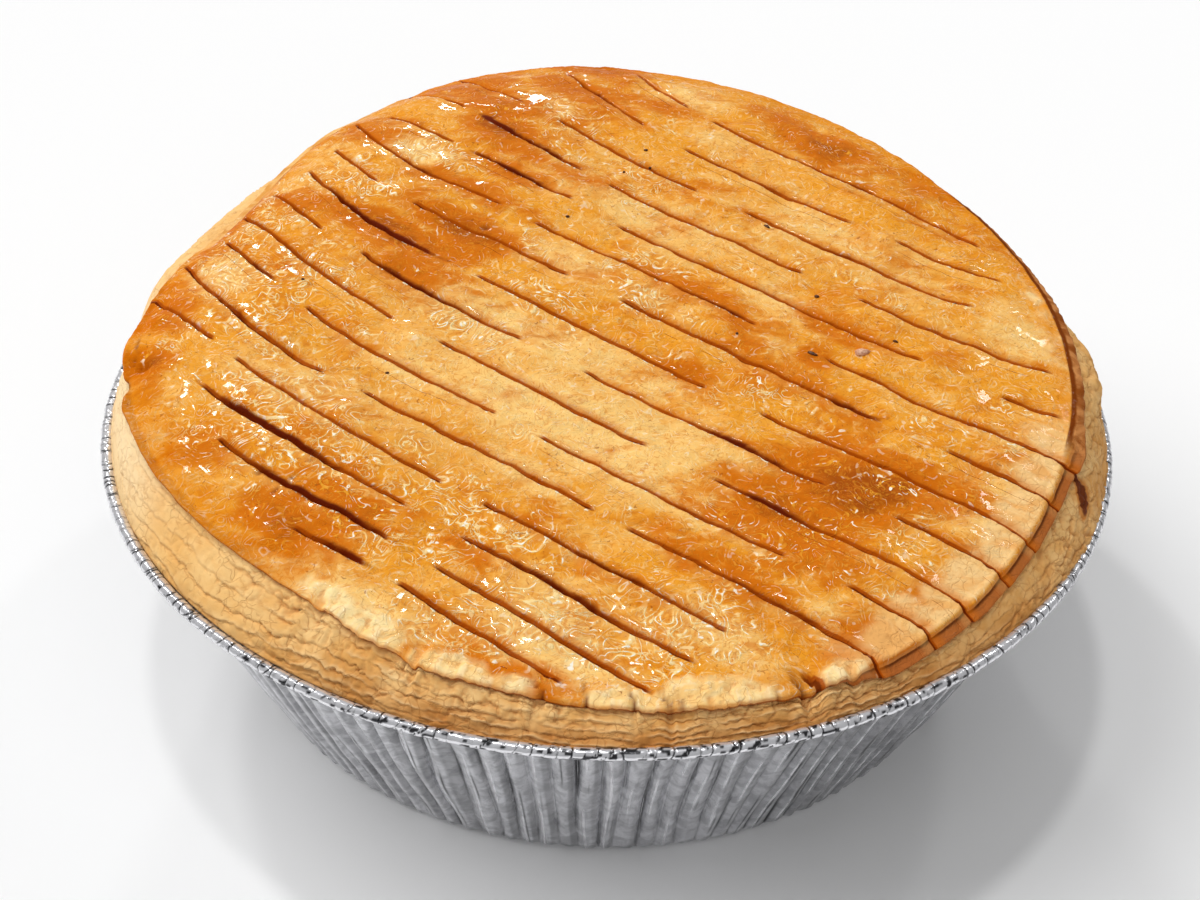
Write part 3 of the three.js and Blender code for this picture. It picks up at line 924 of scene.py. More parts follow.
def lidEdgeColours(f, mottle, cells, rim, block, bare):
    # the browned edge, the pale dry ends of the strips, and the skin that has spread at the right
    c = glazeColours
    onTop = 1 - f.span(rim, 1.0, 1.2)
    f.over(f.span(rim, 0.25, 1.15) * 0.35 * (1 - block) * (1 - bare), c["amber"])
    f.over(block * onTop * (0.65 + mottle * 0.5), f.mix(f.span(mottle, 0.4, 0.62), *c["block"]))
    f.over(cells * block * (0.1 + mottle * 0.5) * onTop, c["blockCrack"])
    f.over(f.field("sheet") * (0.6 + mottle * 0.4), f.mix(f.span(mottle, 0.4, 0.6), *c["sheet"]))
    f.over(f.span(rim, 1.1, 1.32) * (0.35 + mottle * 0.4 + block * 0.3), f.mix(block, *c["face"]))
    f.over(f.span(rim, 1.42, 1.62) * 0.85, f.mix(block, *c["under"]))
    seam = f.span(rim, 1.4, 1.48) * (1 - f.span(rim, 1.52, 1.62)) * block
    f.over(seam * 0.9, c["layerSeam"])
    f.over(f.field("hem") * (0.5 + mottle * 0.6) * (1 - f.span(rim, 1.4, 1.7)), c["hem"])
    skin = f.field("skin")
    f.over(skin * f.span(rim, 1.06, 1.16), f.mix(f.span(mottle, 0.35, 0.62), *c["skin"]))
    f.over(skin * f.span(rim, 1.0, 1.03) * (1 - f.span(rim, 1.1, 1.2)), c["skinEdge"])


def cutColours(f, cloud, mottle, toast, block):
    # beside each cut a band of painted light and a brown painted shadow, then its browned wall, the dark
    # line at the bottom, browned and darkened with painted shade, and small dots of painted highlight on
    # its lip
    c = glazeColours
    near, cutShare, burnt = f.field("cutSide"), f.field("cutShare"), f.field("burnt")
    # painted light on the strip beside the cut
    paintedLitBand = f.span(near, -3.2, -1.2) * (1 - f.span(near, -0.6, -0.2)) * cutShare
    f.over(paintedLitBand * (0.02 + mottle * 0.3) * (1 - f.span(toast, 0.2, 0.6)), c["paintedLitBand"])
    shadow = f.span(near, -0.7, 0.0) * (1 - f.span(near, 0.5, 2.6)) * cutShare
    f.over(shadow * (0.15 + mottle * 0.8), c["shadow"])
    cutOpen = f.span(cutShare, 0.06, 0.35)
    reached = near / (1 - block * 0.5)
    wall = f.span(near, -0.4, -0.26) * (1 - f.span(reached, 0.5, 0.82)) * cutOpen
    f.over(wall * (0.8 + mottle * 0.3), c["wall"])
    # the dark line at the bottom of the cut: browned, and darkened with painted shade
    line = f.span(near, -0.36, -0.24) * (1 - f.span(reached, 0.1, 0.34)) * cutOpen
    f.over(line * (0.25 + cloud * 0.5 + mottle * 0.6), c["line"])
    lip = f.span(near, -0.95, -0.6) * (1 - f.span(near, -0.5, -0.3)) * cutOpen
    # painted highlight dots on the cut's lip
    paintedHighlightDots = f.span(f.noise(0.9, 1, 0.5), 0.6, 0.66) * lip * (1 - block)
    f.over(paintedHighlightDots, c["paintedHighlightDots"])
    f.over(f.field("split") * 0.85, c["split"])
    f.over(f.span(burnt + (mottle - 0.5) * 0.9, 0.12, 0.7), c["burnt"])
    return paintedHighlightDots, wall * (1 - burnt * 0.5)


def glazeFinish():
    f = Finish("glazed_pastry")
    c = glazeColours
    streaks = f.stretched(-slashes["turn"], 0.55, 1.0)
    cloud = f.noise(11, 3, 0.5, 0.3, streaks)
    mottle = f.noise(4.6, 4, 0.55, 1.0, streaks)
    grain = f.noise(1.5, 2, 0.5, 0.6)
    toast = f.field("toast") + (cloud - 0.5) * 0.7 + (mottle - 0.5) * 0.9 + (grain - 0.5) * 0.12
    creamy = f.field("cream") + (cloud - 0.5) * -0.6 + (mottle - 0.5) * -1.0 + (grain - 0.5) * -0.12
    rim, block, bare, puff = [f.field(name) for name in ("rim", "block", "bare", "puff")]
    f.colour = f.mix(f.span(creamy, 0.0, 0.8) * (0.65 + mottle * 0.6), c["golden"], c["cream"])
    f.over(f.span(f.noise(3.2, 3, 0.6, 1.5, streaks), 0.5, 0.72) * 0.45, c["honey"])
    f.over(f.field("drab") * (0.2 + mottle * 0.5), c["drab"])
    f.over(f.span(toast, 0.02, 0.52), c["amber"])
    f.over(f.span(toast, 0.5, 1.05) * 0.85, c["brown"])
    loops = driedLoops(f, toast)
    # fine hairlines and flecks in the glaze
    stroke = f.noise(4.2, 1.5, 0.5, 2.2, streaks)
    strokes = (1 - f.span(abs(stroke - 0.5), 0.003, 0.013)) * f.span(f.noise(6, 2), 0.5, 0.58)
    f.over(strokes * 0.35, c["hairline"])
    f.over(f.span(f.noise(1.1, 1.0, 0.5, 1.5), 0.7, 0.74) * 0.55, c["fleck"])
    # unglazed, blistered pastry
    f.over(bare * (0.6 + mottle * 0.6), f.mix(f.span(mottle, 0.35, 0.65), *c["bare"]))
    # painted shade in the blisters' hollows and painted highlight on their tops
    f.over(f.span(puff, -0.08, -0.5) * 0.65, c["blisterShade"])
    f.over(f.span(puff, 0.15, 0.4) * 0.6, c["blisterHighlight"])
    cells = f.crackle(2.3, f.warped(3.0, 4.2), 0.08) * f.span(f.noise(3.6, 2), 0.4, 0.56)
    f.over(cells * bare * (0.05 + mottle * 0.45), c["bareCrack"])
    lidEdgeColours(f, mottle, cells, rim, block, bare)
    paintedHighlightDots, dryWall = cutColours(f, cloud, mottle, toast, block)
    height = loops - cells * (bare + block) * 0.5 + f.noise(2.6, 2, 0.5, 0.8) * 2.2 + paintedHighlightDots * 0.8
    dry = f.larger(block * 0.8, bare * 0.8)
    dry = f.larger(dry, dryWall * 0.9)
    dry = f.larger(dry, f.span(rim, 0.3, 1.05) * 0.85)
    return f.surface({
        "Roughness": 0.5 + mottle * 0.16 + dry * 0.2, "Normal": f.bump(height, 1.0, 0.00012),
        "IOR": 1.4, "Specular IOR Level": 0.04,
        "Coat Weight": (1 - dry) * 0.28, "Coat Roughness": 0.055, "Coat IOR": 1.5})


# the pale pastry between the lid and the tray

side = {
    "points": 1440,
    "rows": 56,
    "end": (97.75, -1.0),  # it goes down beside the rolled rim: radius, height from the rim's top
    "limit": 98.4,  # the radius that nothing on it passes
    "hidden": [(240, 92.25, rimTop - 2.6), (60, 74.5, 3.2), (60, 70, 1.2)],  # points, radius, height
    "gap": (1.3, 236),  # how far the pastry stands off the rim at the front left, and where
    "layer": 1.8,  # thickness of a layer
    "ledge": 0.85,
    "crackWidth": 0.085,
    "leak": (-18, 7.5, 1.8),  # where filling has run out, in degrees, how it slants, and its half width
    "swell": (2.5, -6, 9),  # how far it bulges over the rim at the right, between two angles
    "backSwell": (3.2, 138, 172),  # and at the back left
}


def crust(arc, down, long, turned, q):
    # how far the layers, cracks and bumps stand out, and what the finish reads
    fromBack = (turned + 180) % 360
    left = ease(turned, 125, 155) * (1 - ease(turned, 218, 242))
    right = ease(fromBack, 140, 160) * (1 - ease(fromBack, 200, 225))
    calm = 1 - 0.5 * left
    wander = 2.2 * wavy(arc / 34, 0 * arc, 81) + 0.6 * calm * wavy(arc / 9, down / 6, 82)
    wander = wander + 0.8 * left * wavy(arc / 14, down / 9, 99)
    thicker = 1 + 0.5 * ease(long, 14, 26) - 0.35 * (1 - ease(long, 6, 11)) + 0.9 * left
    place = (down + wander) / (side["layer"] * thicker)
    ripple = 0.32 * wavy(arc / 4.1, place * 1.1, 85) + 0.16 * wavy(arc / 1.5, place * 1.6, 86)
    place = place + calm * ripple
    step = np.floor(place)
    part = place - step
    flaky = 0.28 + 0.3 * ease(turned, 100, 130) * (1 - ease(turned, 215, 240))
    flaky = flaky + 0.72 * ease(turned, 208, 240) * (1 - ease(turned, 296, 318))
    shown = ease(layered(arc, step * 5.1, 6, 2, 84), -0.4 - 0.5 * left, 0.25 - 0.5 * left)
    layer = step.astype(np.int64)
    weight = (0.35 + 0.65 * hashed(layer, 0 * layer, 83)) * shown * flaky
    ledge = side["ledge"] * (1 - 0.5 * left) * weight * (part ** 1.5 - 0.4)
    # dark seams between the layers, browned and with painted shade in the gaps
    seam = np.exp(-(part / 0.1) ** 2) + np.exp(-((1 - part) / 0.04) ** 2)
    cellX = arc / 4.6 + 0.3 * wavy(arc / 2.6, down / 2.6, 87)
    cellY = down / 3.1 + 0.3 * wavy(arc / 2.6, down / 2.2, 88)
    border = cracked(cellX, cellY, 89)
    fine = cracked(cellX * 2.1, cellY * 2.1, 90)
    plates = 0.35 + 0.65 * ease(layered(arc, down * 2, 12, 2, 91), -0.3, 0.3)
    plates = plates - 0.35 * flaky * ease(q, 0.3, 0.5)
    fineSplit = (0.5 + 0.4 * left) * np.exp(-(fine / side["crackWidth"]) ** 2)
    split = np.exp(-(border / side["crackWidth"]) ** 2) + fineSplit
    split = np.clip(split * (plates + 0.3 * right) * (1 - 0.45 * left), 0, 1)
    pick = hashed(np.floor(cellX).astype(np.int64), np.floor(cellY).astype(np.int64), 92)
    curled = 0.45 * ease(border, 0.05, 0.3) * pick
    bumps = 0.3 * calm * layered(arc, down * 1.4, 7, 2, 93)
    crumbs = 0.8 * (calm * flaky + 0.35 * right) * np.minimum(0, wavy(arc / 1.3, place * 0.9, 98) + 0.2)
    gap = 0.45 * weight * np.exp(-(part / 0.13) ** 2)
    push = ledge + crumbs - gap - 0.45 * calm * split + bumps + curled * plates * calm
    # the last value marks the outer part of each layer, where the finish paints light
    return push, split, np.minimum(1, seam) * weight, ease(part, 0.55, 0.9) * weight


def buildSidePiece(finish, lidAngle, lidFloor):
    p = Points()
    n = side["points"]
    angle = np.arange(n) * fullTurn / n
    turned = np.degrees(angle)
    floorZ = np.interp(angle, np.append(lidAngle, fullTurn), np.append(lidFloor, lidFloor[0]))
    radius = lidRadius(angle)
    depth, turn = side["gap"]
    opening = depth * np.maximum(0, np.cos(angle - radians(turn))) ** 12
    startR, startZ = radius - 1.3, floorZ + 0.35
    over = within(angle, -34, 10, 16)
    endR = (side["end"][0] + 1.1 * over) * scale - opening
    endZ = np.minimum(rimTop + side["end"][1], startZ - 0.8) - 0.6 * opening
    long = np.hypot(endR - startR, endZ - startZ)
    arc = angle * meanRadius
    around = (turned + 180) % 360 - 180
    bulge, bulgeFrom, bulgeTo = side["swell"]
    swell = bulge * within(angle, bulgeFrom, bulgeTo, 16) + 0.8 * np.exp(-((around + 2.4) / 1.1) ** 2)
    bulge, bulgeFrom, bulgeTo = side["backSwell"]
    swell = swell + bulge * within(angle, bulgeFrom, bulgeTo, 16)
    leakAt, leakSlant, leakWide = side["leak"]
    skin = within(angle, -19, 36, 8)
    gathered = []
    rings = []

    def plain(count, share, lower):
        turns = np.arange(count) * fullTurn / count
        r = lidRadius(turns) * share
        rx, ry = r * np.cos(turns), r * np.sin(turns)
        gathered.append(np.zeros((6, count)))
        return p.add(rx, ry, lidUnder(rx, ry) - lower)

    rings.append(plain(60, 0.45, 0.4))
    rings.append(plain(240, 0.85, 0.6))
    rows = side["rows"]
    for k in range(rows + 1):
        q = k / rows
        r = startR + (endR - startR) * (1 - (1 - q) ** 1.4)
        z = startZ + (endZ - startZ) * q ** 1.15
        push, split, seam, light = crust(arc, q * long, long, turned, q)
        folds = 0.5 * np.abs(wavy(arc / 2.4, 0 * arc + q * 2, 94))
        skinned = skin * (1 - ease(q + 0.08 * wavy(arc / 5, 0 * arc, 95), 0.1, 0.16))
        wide = leakWide * (0.3 + 0.7 * ease(q, 0.15, 0.5)) * (1 + 0.3 * wavy(q * 6 + 0 * arc, 0 * arc, 96))
        leak = np.exp(-((around - leakAt + leakSlant * q) / wide) ** 2) * (1 - ease(q, 0.56, 0.7))
        push = push * (1 - 0.6 * skinned) + folds * skinned + 0.35 * leak
        push = push + swell * np.exp(-((q - 0.42) / 0.26) ** 2)
        push = push * ease(q, 0, 0.1) * (1 - 0.75 * ease(q, 0.9, 1))
        r = r + push * (startZ - endZ) / long
        z = z + push * (endR - startR) / long
        r = np.minimum(r, (side["limit"] + 0.4 * over + 0.15 * swell) * scale)
        rings.append(p.add(r * np.cos(angle), r * np.sin(angle), z))
        gathered.append(np.stack([split, seam, np.full(n, q), light, skinned, leak]))
    for count, r, z in side["hidden"]:
        turns = np.arange(count) * fullTurn / count
        rings.append(p.add(r * scale * np.cos(turns), r * scale * np.sin(turns), z))
        gathered.append(np.zeros((6, count)))
    for upper, lower in zip(rings[:-1], rings[1:]):
        p.strip(lower, upper)
    p.cap(rings[0], 0, 0, lidUnder(0.0, 0.0) - 0.4, True)
    p.cap(rings[-1], 0, 0, side["hidden"][-1][2], False)
    gathered.append(np.zeros((6, 2)))
    values = np.hstack(gathered)
    fields = dict(zip(("split", "seam", "down", "light", "skin", "leak"), values))
    xyz = p.xyz()
    turns = np.arctan2(xyz[:, 1], xyz[:, 0])
    # where the finish paints shade on the front and right side
    fields["sideShade"] = within(turns, 238, 372, 40) * (1 - 0.45 * within(turns, 318, 380, 30))
    # where the finish paints light on the left side, creamiest near the top
    fields["left"] = within(turns, 140, 234, 30)
    fields["creamy"] = within(turns, 172, 208, 16)
    return makePiece("pastry_side", xyz, p.faces, finish, fields)


# screen colours again; the leak is brown outside and dark in the middle
paleColours = {
    "main": ((234, 176, 98), (248, 208, 142)),
    "mottle": (218, 154, 80),
    # painted shade: darker on the front and right, more so further down
    "sideShade": ((188, 124, 60), (212, 156, 92)),
    # painted light on the outer part of each layer
    "light": (250, 216, 160),
    # painted light on the left side; the creamy one is lightest near the top
    "left": (246, 194, 120),
    "creamy": (255, 228, 180),
    "crackle": (196, 130, 66),
    # painted shade just under the lid
    "shadeUnderLid": (206, 132, 60),
    "skin": ((150, 82, 26), (196, 122, 56)),
    # dark lines between the layers: browned edges, with painted shade in the gaps
    "seam": (166, 98, 42),
    "split": (188, 124, 62),
    "leak": ((196, 118, 44), (108, 48, 12)),
}


def paleFinish():
    f = Finish("pale_pastry")
    c = paleColours
    cloud = f.noise(9, 4, 0.6, 0.4)
    mottle = f.noise(2.4, 4, 0.6, 0.5)
    down, left, leak = [f.field(name) for name in ("down", "left", "leak")]
    f.colour = f.mix(f.span(cloud, 0.3, 0.7), *c["main"])
    f.over(f.span(mottle, 0.5, 0.7) * 0.35, c["mottle"])
    # painted shade on the front and right side, darker further down
    sideShade = f.field("sideShade") * (0.2 + f.span(down, 0.2, 0.8) * 0.8)
    f.over(sideShade, f.mix(f.span(cloud, 0.35, 0.65), *c["sideShade"]))
    # painted light on the outer part of each layer
    f.over(f.field("light") * 0.5, c["light"])
    # painted light on the left side, lightest and creamiest near the top
    f.over(left * (0.15 + mottle * 0.5), c["left"])
    high = 1 - f.span(down, 0.5, 0.9) * 0.4
    f.over(f.field("creamy") * high * (0.5 + mottle * 0.6), c["creamy"])
    cells = f.crackle(2.6, f.warped(3.6, 5.0), 0.06) * f.span(f.noise(4.5, 2), 0.42, 0.56)
    f.over(cells * (0.1 + mottle * 0.7) * (1 - left * 0.4), c["crackle"])
    # painted shade just under the lid
    f.over((1 - f.span(down, 0.0, 0.1)) * 0.6, c["shadeUnderLid"])
    f.over(f.field("skin") * (0.7 + mottle * 0.4), f.mix(mottle, *c["skin"]))
    # dark lines between the layers: browned edges, with painted shade in the gaps
    f.over(f.field("seam") * (0.15 + mottle * 0.6) * (1 - left * 0.3), c["seam"])
    f.over(f.field("split") * 0.5, c["split"])
    f.over(f.span(leak, 0.1, 0.4) * 0.8, c["leak"][0])
    f.over(f.span(leak + (mottle - 0.5) * 0.4, 0.45, 0.75), c["leak"][1])
    height = mottle * 1.0 + f.noise(0.8, 2, 0.5) * 0.4 - cells * 0.8
    return f.surface({
        "Roughness": 0.55 + mottle * 0.2, "Normal": f.bump(height, 0.6, 0.0002),
        "IOR": 1.42, "Specular IOR Level": 0.2})


# small dark specks and one loose flake on the glaze

specks = {
    # x, y, half length, half width, turn in degrees
    "dark": [
        (39.0, -8.2, 1.25, 0.6, -30), (40.9, 9.0, 0.6, 0.45, 10), (31.8, 29.5, 0.9, 0.35, -40),
        (68.6, 9.8, 0.6, 0.5, 0), (6.8, 53.3, 0.5, 0.35, 20), (2.2, 45.7, 0.45, 0.3, 60),
        (-9.2, 29.1, 0.5, 0.35, 0), (7.7, 47.7, 0.4, 0.3, 30), (-41.5, -20.5, 0.4, 0.3, 0),
        (55.5, -3.5, 0.7, 0.3, -35), (24.6, -4.4, 0.35, 0.3, 0), (-60.5, 5.2, 0.4, 0.3, 10)],
    "flake": [(48.7, -7.3, 1.7, 1.1, 15)],
    # name, its places, height, darker and lighter colour, roughness
    "kinds": [
        ("dark_specks", "dark", 0.35, (58, 28, 8), (104, 58, 22), 0.3),
        ("loose_flake", "flake", 0.9, (196, 138, 108), (232, 188, 158), 0.4)],
}


def buildSpecks(name, places, tall, finish):
    p = Points()
    corners = np.arange(8)
    turns = corners * fullTurn / 8
    for i, (x, y, long, wide, turn) in enumerate(places):
        ragged = 0.75 + 0.4 * hashed(corners, np.full(8, i), 141)
        c, s = cos(radians(turn)), sin(radians(turn))
        rise = lidRelief(np.array([x]), np.array([y]))[0][0]
        base = float(lidTop(x, y)) + rise
        rings = []
        for grow, up in ((0.8, -0.3), (1.0, 0.2), (0.62, 0.8)):
            u, v = long * grow * ragged * np.cos(turns), wide * grow * ragged * np.sin(turns)
            high = base + up * tall * (0.8 + 0.4 * hashed(corners, np.full(8, i), 142))
            rings.append(p.add(x + u * c - v * s, y + u * s + v * c, high))
        for lower, upper in zip(rings[:-1], rings[1:]):
            p.strip(lower, upper)
        p.cap(rings[0], x, y, base - 0.4 * tall, False)
        p.cap(rings[-1], x, y, base + 0.95 * tall, True)
    return makePiece(name, p.xyz(), p.faces, finish)


def speckFinish(name, dark, light, rough):
    f = Finish(name)
    grain = f.noise(0.5, 3, 0.6)
    f.colour = f.mix(f.span(grain, 0.35, 0.65), dark, light)
    return f.surface({"Roughness": rough + grain * 0.2, "Normal": f.bump(grain, 0.5, 0.0001)})


# the foil tray

tray = {
    "points": 1300,  # ten for each flute
    "flutes": 130,
    "base": 75,  # radius where the wall begins
    "foot": 1.8,
    "floorRings": [(30, 0.0), (56, 0.0), (57.5, 0.35), (59, 0.35), (60.5, 0.0)],  # radius, height
    "rows": 16,  # rings up the wall
    "wallTop": (94.9, rimTop - 2.8),
    "foil": 0.6,
    "flute": 1.0,  # how far a pleat stands out
    "bead": (98.62, rimTop - 1.06, 1.3, 1.04),  # middle radius and height, half width, half height
    "beadTurn": (-140, 200, 14),  # the bead is rolled from one angle to another, in so many rings
    "crimp": 2.5,  # from one nip of the bead to the next
}


def crimpLines():
    # where the rolled rim is nipped, with slant, depth and width of each nip
    rng = np.random.default_rng(17)
    ring = fullTurn * rimRadius
    places = [0.0]
    while places[-1] < ring - 3.5:
        at = np.array(places[-1] / rimRadius)
        dense = within(at, 130, 232, 30) + within(at, 308, 390, 30)
        gap = tray["crimp"] * (0.6 + 0.8 * rng.random()) * (1 - 0.45 * float(dense))
        places.append(places[-1] + gap)
    turns = np.array(places)
    n = len(turns)
    slant, depth, width = rng.uniform(-0.6, 1.8, n), rng.uniform(0.1, 0.34, n), rng.uniform(0.13, 0.24, n)
    return turns / rimRadius, slant, depth, width


def nips(angle, tilt, lines):
    # how far the rim is pressed in
    turns, slant, depth, width = lines
    total = np.zeros(angle.shape)
    n = len(turns)
    at = np.searchsorted(turns, angle)
    for step in (-2, -1, 0, 1):
        k = (at + step) % n
        off = (angle - turns[k] + pi) % fullTurn - pi
        off = off * rimRadius - slant[k] * tilt
        total = np.maximum(total, depth[k] * np.exp(-(off / width[k]) ** 2))
    return total


def fluteWave(angle, up):
    # pleats that wander, join and fade, with broad ridges and narrow valleys: about -1 to 1,
    # and where in a pleat a point is, 0 on its ridge
    drift = 2.2 * wavy(angle * 7, up * 0.8, 101) + 1.3 * wavy(angle * 19, up * 1.4, 102)
    turn = (tray["flutes"] * angle + drift + pi) % fullTurn - pi
    wave = 2 * np.cos(turn / 2) ** 0.65 - 1
    strength = 0.8 + 0.45 * wavy(angle * 23, up * 1.1, 103)
    crease = creased(angle * meanRadius, up * 9, 4.1, 104, 0.5) - 0.5
    return wave * strength + 0.2 * crease, turn


def buildTrayPiece(finish):
    p = Points()
    coarse = np.arange(tray["points"]) * fullTurn / tray["points"]
    fine = np.arange(2 * tray["points"]) * fullTurn / (2 * tray["points"])
    lines = crimpLines()
    rings, marks = [], []

    def ring(angle, r, z, nip=0, paintedShadeAndReflection=0, paintedShine=0, bead=0):
        r = r * scale + 0 * angle
        marks.append(np.stack([value + 0 * angle for value in (nip, paintedShadeAndReflection, paintedShine, bead)]))
        rings.append(p.add(r * np.cos(angle), r * np.sin(angle), z + 0 * angle))

    baseR, foot = tray["base"], tray["foot"]
    wallR, wallZ = tray["wallTop"]
    small = np.arange(tray["flutes"]) * fullTurn / tray["flutes"]
    for r, z in tray["floorRings"]:
        ring(small, r, z)
    for r, z in ((baseR - 4, 0.0), (baseR - 2.6, 0.05), (baseR - 1, 0.55)):
        ring(coarse, r, z)
    for k in range(tray["rows"] + 1):
        up = k / tray["rows"]
        wave, turn = fluteWave(fine, up)
        amount = tray["flute"] * (0.55 + 0.45 * ease(up, 0, 0.3)) * (1 - 0.5 * ease(up, 0.93, 1))
        dent = 0.25 * layered(fine * meanRadius, up * 46 + 0 * fine, 16, 2, 111)
        dent = dent * ease(up, 0, 0.2) * (1 - ease(up, 0.9, 1))
        r = baseR + (wallR - baseR) * up + amount * wave + dent
        # painted shade: the valleys, one flank of each pleat and two darker stretches of the wall
        fade = 0.55 + 0.45 * wavy(fine * 31, up * 2, 105)
        paintedShadeAndReflection = np.maximum(ease(-wave, 0.1, 0.7), 0.5 * ease(turn, 0.4, 1.4)) * fade
        thin = 0.7 * np.exp(-((turn + 0.25) / 0.3) ** 2)
        paintedShadeAndReflection = np.maximum(paintedShadeAndReflection, thin * ease(wavy(fine * 37, up * 3, 107), 0.0, 0.4))
        paintedShadeAndReflection = paintedShadeAndReflection + 0.08 * within(fine, 210, 262, 20) + 0.34 * within(fine, 292, 336, 16)
        # painted highlight streaks beside the ridges
        streak = np.exp(-((turn + 0.9) / 0.32) ** 2) + 0.3 * np.exp(-((turn + 1.0) / 0.8) ** 2)
        second = 0.8 * np.exp(-((turn - 0.3) / 0.25) ** 2)
        streak = streak + second * ease(wavy(fine * 33, up * 3, 108), 0, 0.4)
        paintedShine = streak * ease(wavy(fine * 40, up * 2.5, 106), -0.4, 0.3)
        ring(fine, r, foot + (wallZ - foot) * up, 0, paintedShadeAndReflection, paintedShine)
    # a narrow flange, then the rolled rim
    ring(fine, wallR + 1.0 + 0.2 * fluteWave(fine, 1.0)[0], wallZ + 0.2)
    ring(fine, wallR + 1.9, wallZ + 0.25)
    midR, midZ, halfW, halfH = tray["bead"]
    for turn in np.linspace(*tray["beadTurn"]):
        outward, upward = cos(radians(turn)), sin(radians(turn))
        nip = nips(fine, upward, lines)
        soft = 0.1 * layered(fine * meanRadius, turn / 60 + 0 * fine, 3.3, 3, 121)
        w, h = halfW - nip + soft - 0.1, halfH - nip + soft - 0.1
        # painted dark and bright reflections smeared along the rolled rim
        smear = layered(fine * meanRadius / 1.5, turn / 22 + 0 * fine, 1.15, 2, 122)
        smear = smear * (0.3 + 0.55 * within(fine, 238, 305, 24))
        ring(fine, midR + w * outward, midZ + h * upward, nip,
             ease(-smear, 0.1, 0.4), ease(smear, 0.1, 0.4), 1)
    rise, run = wallZ - foot, wallR - baseR
    inR = tray["foil"] * rise / np.hypot(rise, run)
    inZ = tray["foil"] * run / np.hypot(rise, run)
    # down the inside, with plain pleats
    for k in range(5):
        up = 1 - k / 4
        r = baseR + (wallR - baseR) * up - inR
        ring(coarse, r + 0.35 * np.cos(tray["flutes"] * coarse), foot + (wallZ - foot) * up + inZ)
    ring(small, baseR - 2.9, tray["foil"])
    for lower, upper in zip(rings[:-1], rings[1:]):
        p.strip(lower, upper)
    p.cap(rings[0], 0, 0, 0, False)
    p.cap(rings[-1], 0, 0, tray["foil"], True)
    marks.append(np.zeros((4, 2)))
    fields = dict(zip(("nip", "paintedShadeAndReflection", "paintedShine", "bead"), np.hstack(marks)))
    return makePiece("foil_dish", p.xyz(), p.faces, finish, fields)


foilColours = {
    "wall": ((190, 190, 194), (238, 238, 242)),
    # the rolled rim painted brighter, with less metal, as a painted reflection
    "bead": (236, 236, 240),
    # painted shade in the pleats, painted dark reflections on the rolled rim
    "paintedShadeAndReflection": (24, 24, 28),
    # painted highlights on the pleats and bright reflections on the rolled rim
    "paintedShine": (250, 250, 255),
    # painted shade in the nips of the rolled rim
    "nip": (28, 28, 32),
}


def foilFinish():
    f = Finish("foil")
    c = foilColours
    cloud = f.noise(7, 4, 0.6, 0.3)
    brushed = f.noise(1.6, 3, 0.6, 0.2, f.stretched(0, 1.0, 0.5))
    nip, bead, paintedShine = [f.field(name) for name in ("nip", "bead", "paintedShine")]
    f.colour = f.mix(f.span(f.noise(3.4, 4, 0.65, 0.6), 0.35, 0.65), *c["wall"])
    # the rolled rim painted brighter, with less metal, as a painted reflection
    f.over(bead, c["bead"])
    # painted shade in the pleats, painted dark reflections on the rolled rim
    f.over(f.span(f.field("paintedShadeAndReflection"), 0.0, 0.85) * 0.96, c["paintedShadeAndReflection"])
    # painted highlights on the pleats and bright reflections on the rolled rim
    f.over(paintedShine * f.span(brushed, 0.35, 0.65) * 0.8, c["paintedShine"])
    # painted shade in the nips of the rolled rim
    f.over(f.span(nip, 0.05, 0.2) * 0.92, c["nip"])
    height = f.noise(3.0, 3, 0.6, 0.4) * 1.0 + brushed * 0.35
    return f.surface({
        "Metallic": 1 - bead * 0.32 - paintedShine * (1 - bead) * 0.45,
        "Roughness": 0.17 + cloud * 0.1, "Normal": f.bump(height, 0.5, 0.0002)})


# making it

glaze = glazeFinish()
lidPiece, lidAngle, lidFloor = buildLidPiece(glaze)
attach(lidPiece, "root")
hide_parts("pastry_lid")

sidePiece = buildSidePiece(paleFinish(), lidAngle, lidFloor)
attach(sidePiece, "root")
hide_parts("pie_body")

trayPiece = buildTrayPiece(foilFinish())
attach(trayPiece, "root")
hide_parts("foil_tray")

for name, key, tall, dark, light, rough in specks["kinds"]:
    piece = buildSpecks(name, specks[key], tall, speckFinish(name, dark, light, rough))
    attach(piece, "root")


# floor, lights and camera

studio = {
    "floor": 3.0,
    "floorDrop": 0.0004,  # just under the tray, so that the two don't touch
    "floorColour": 0.9,
    "sky": 0.26,
    # towards the light, how wide it looks in degrees, and its strength
    "lights": {
        "left_light": ((-0.7, 0.15, 0.8), 50, 1.56),
        "front_light": ((0.1, -0.6, 0.8), 70, 0.6),
        "left_lamp": ((-0.42, 0.52, 0.74), 5, 0.4),
        "right_lamp": ((0.45, 0.55, 0.7), 5, 0.18),
        "back_lamp": ((-0.1, 0.9, 0.42), 5, 0.32),
        "top_lamp": ((-0.1, 0.15, 1.0), 5, 0.45),
    },
    "lens": 60,
    "camera": (-0.0013, -0.3279, 0.2834),
    "aim": (-0.0013, 0.05, 0),
    "roll": 0.0267,
}


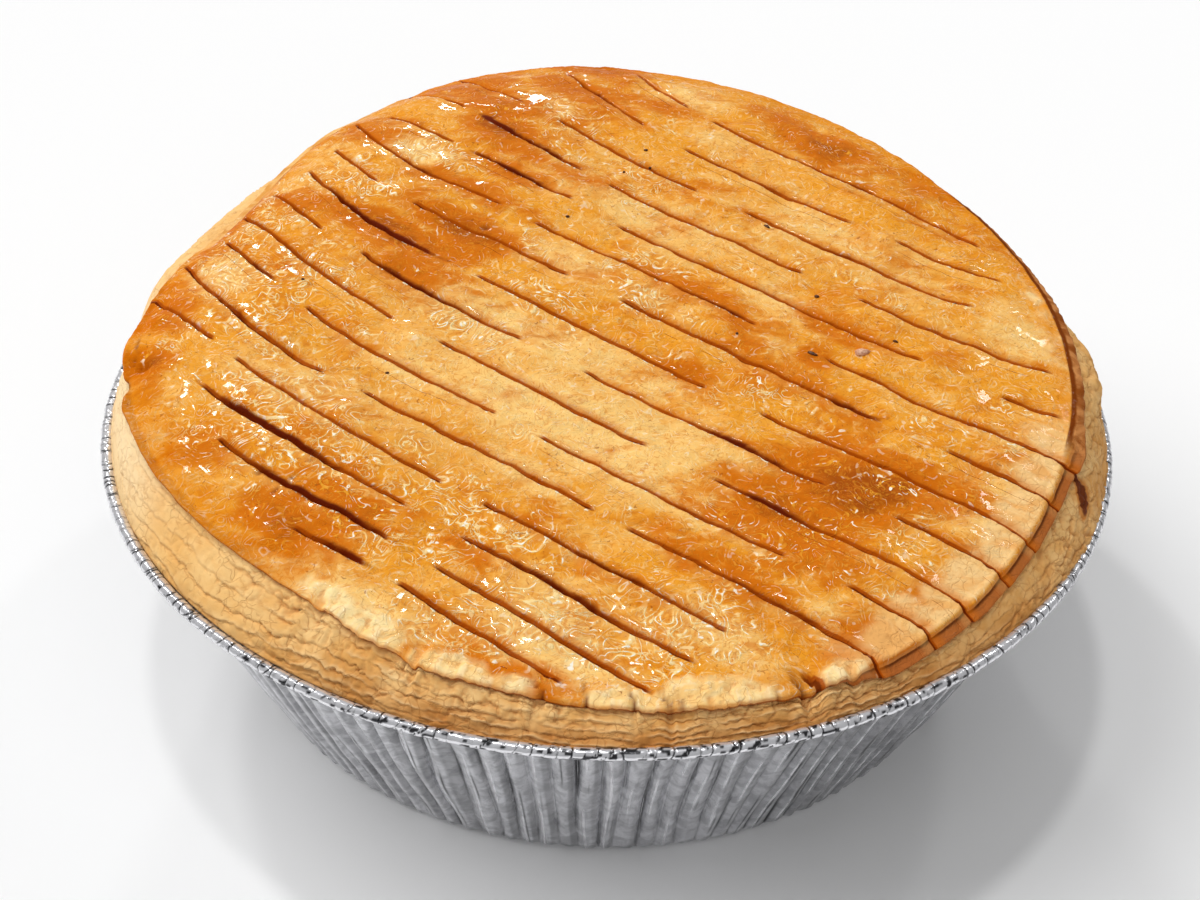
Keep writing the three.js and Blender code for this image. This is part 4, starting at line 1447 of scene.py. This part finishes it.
def makeFloor():
    half = studio["floor"] / 2
    mesh = bpy.data.meshes.new("floor")
    corners = [(-half, -half), (half, -half), (half, half), (-half, half)]
    mesh.from_pydata([(x, y, -studio["floorDrop"]) for x, y in corners], [], [(0, 1, 2, 3)])
    f = Finish("floor")
    pale = studio["floorColour"]
    f.colour = f.mix(f.noise(400, 2), (pale, pale, pale, 1), (pale * 1.01, pale * 1.01, pale * 1.01, 1))
    mesh.materials.append(f.surface({"Roughness": 0.9}))
    floor = bpy.data.objects.new("floor", mesh)
    bpy.context.scene.collection.objects.link(floor)


def makeLight(name, towards, width, power):
    data = bpy.data.lights.new(name, "SUN")
    data.angle = radians(width)
    data.energy = power
    light = bpy.data.objects.new(name, data)
    light.location = towards
    light.rotation_mode = "QUATERNION"
    light.rotation_quaternion = (-Vector(towards)).to_track_quat("-Z", "Y")
    light.visible_glossy = width < 20  # only the small lamps show in the glaze and the foil
    bpy.context.scene.collection.objects.link(light)


def makeCamera():
    data = bpy.data.cameras.new("camera")
    data.lens = studio["lens"]
    data.sensor_width = 36
    data.clip_start = 0.01
    camera = bpy.data.objects.new("camera", data)
    spot, aim = Vector(studio["camera"]), Vector(studio["aim"])
    forward = (aim - spot).normalized()
    right = forward.cross(Vector((0, 0, 1))).normalized()
    up = right.cross(forward)
    c, s = cos(studio["roll"]), sin(studio["roll"])
    turn = Matrix((right * c + up * s, up * c - right * s, -forward)).transposed()
    camera.matrix_world = Matrix.Translation(spot) @ turn.to_4x4()
    bpy.context.scene.collection.objects.link(camera)
    bpy.context.scene.camera = camera


def makeSky():
    world = bpy.data.worlds.new("sky")
    world.use_nodes = True
    back = world.node_tree.nodes["Background"]
    back.inputs["Color"].default_value = (1, 1, 1, 1)
    back.inputs["Strength"].default_value = studio["sky"]
    bpy.context.scene.world = world


makeFloor()
makeSky()
for name, (towards, width, power) in studio["lights"].items():
    makeLight(name, towards, width, power)
makeCamera()
bpy.context.scene.view_settings.view_transform = "Standard"
print("pie: stage ready")
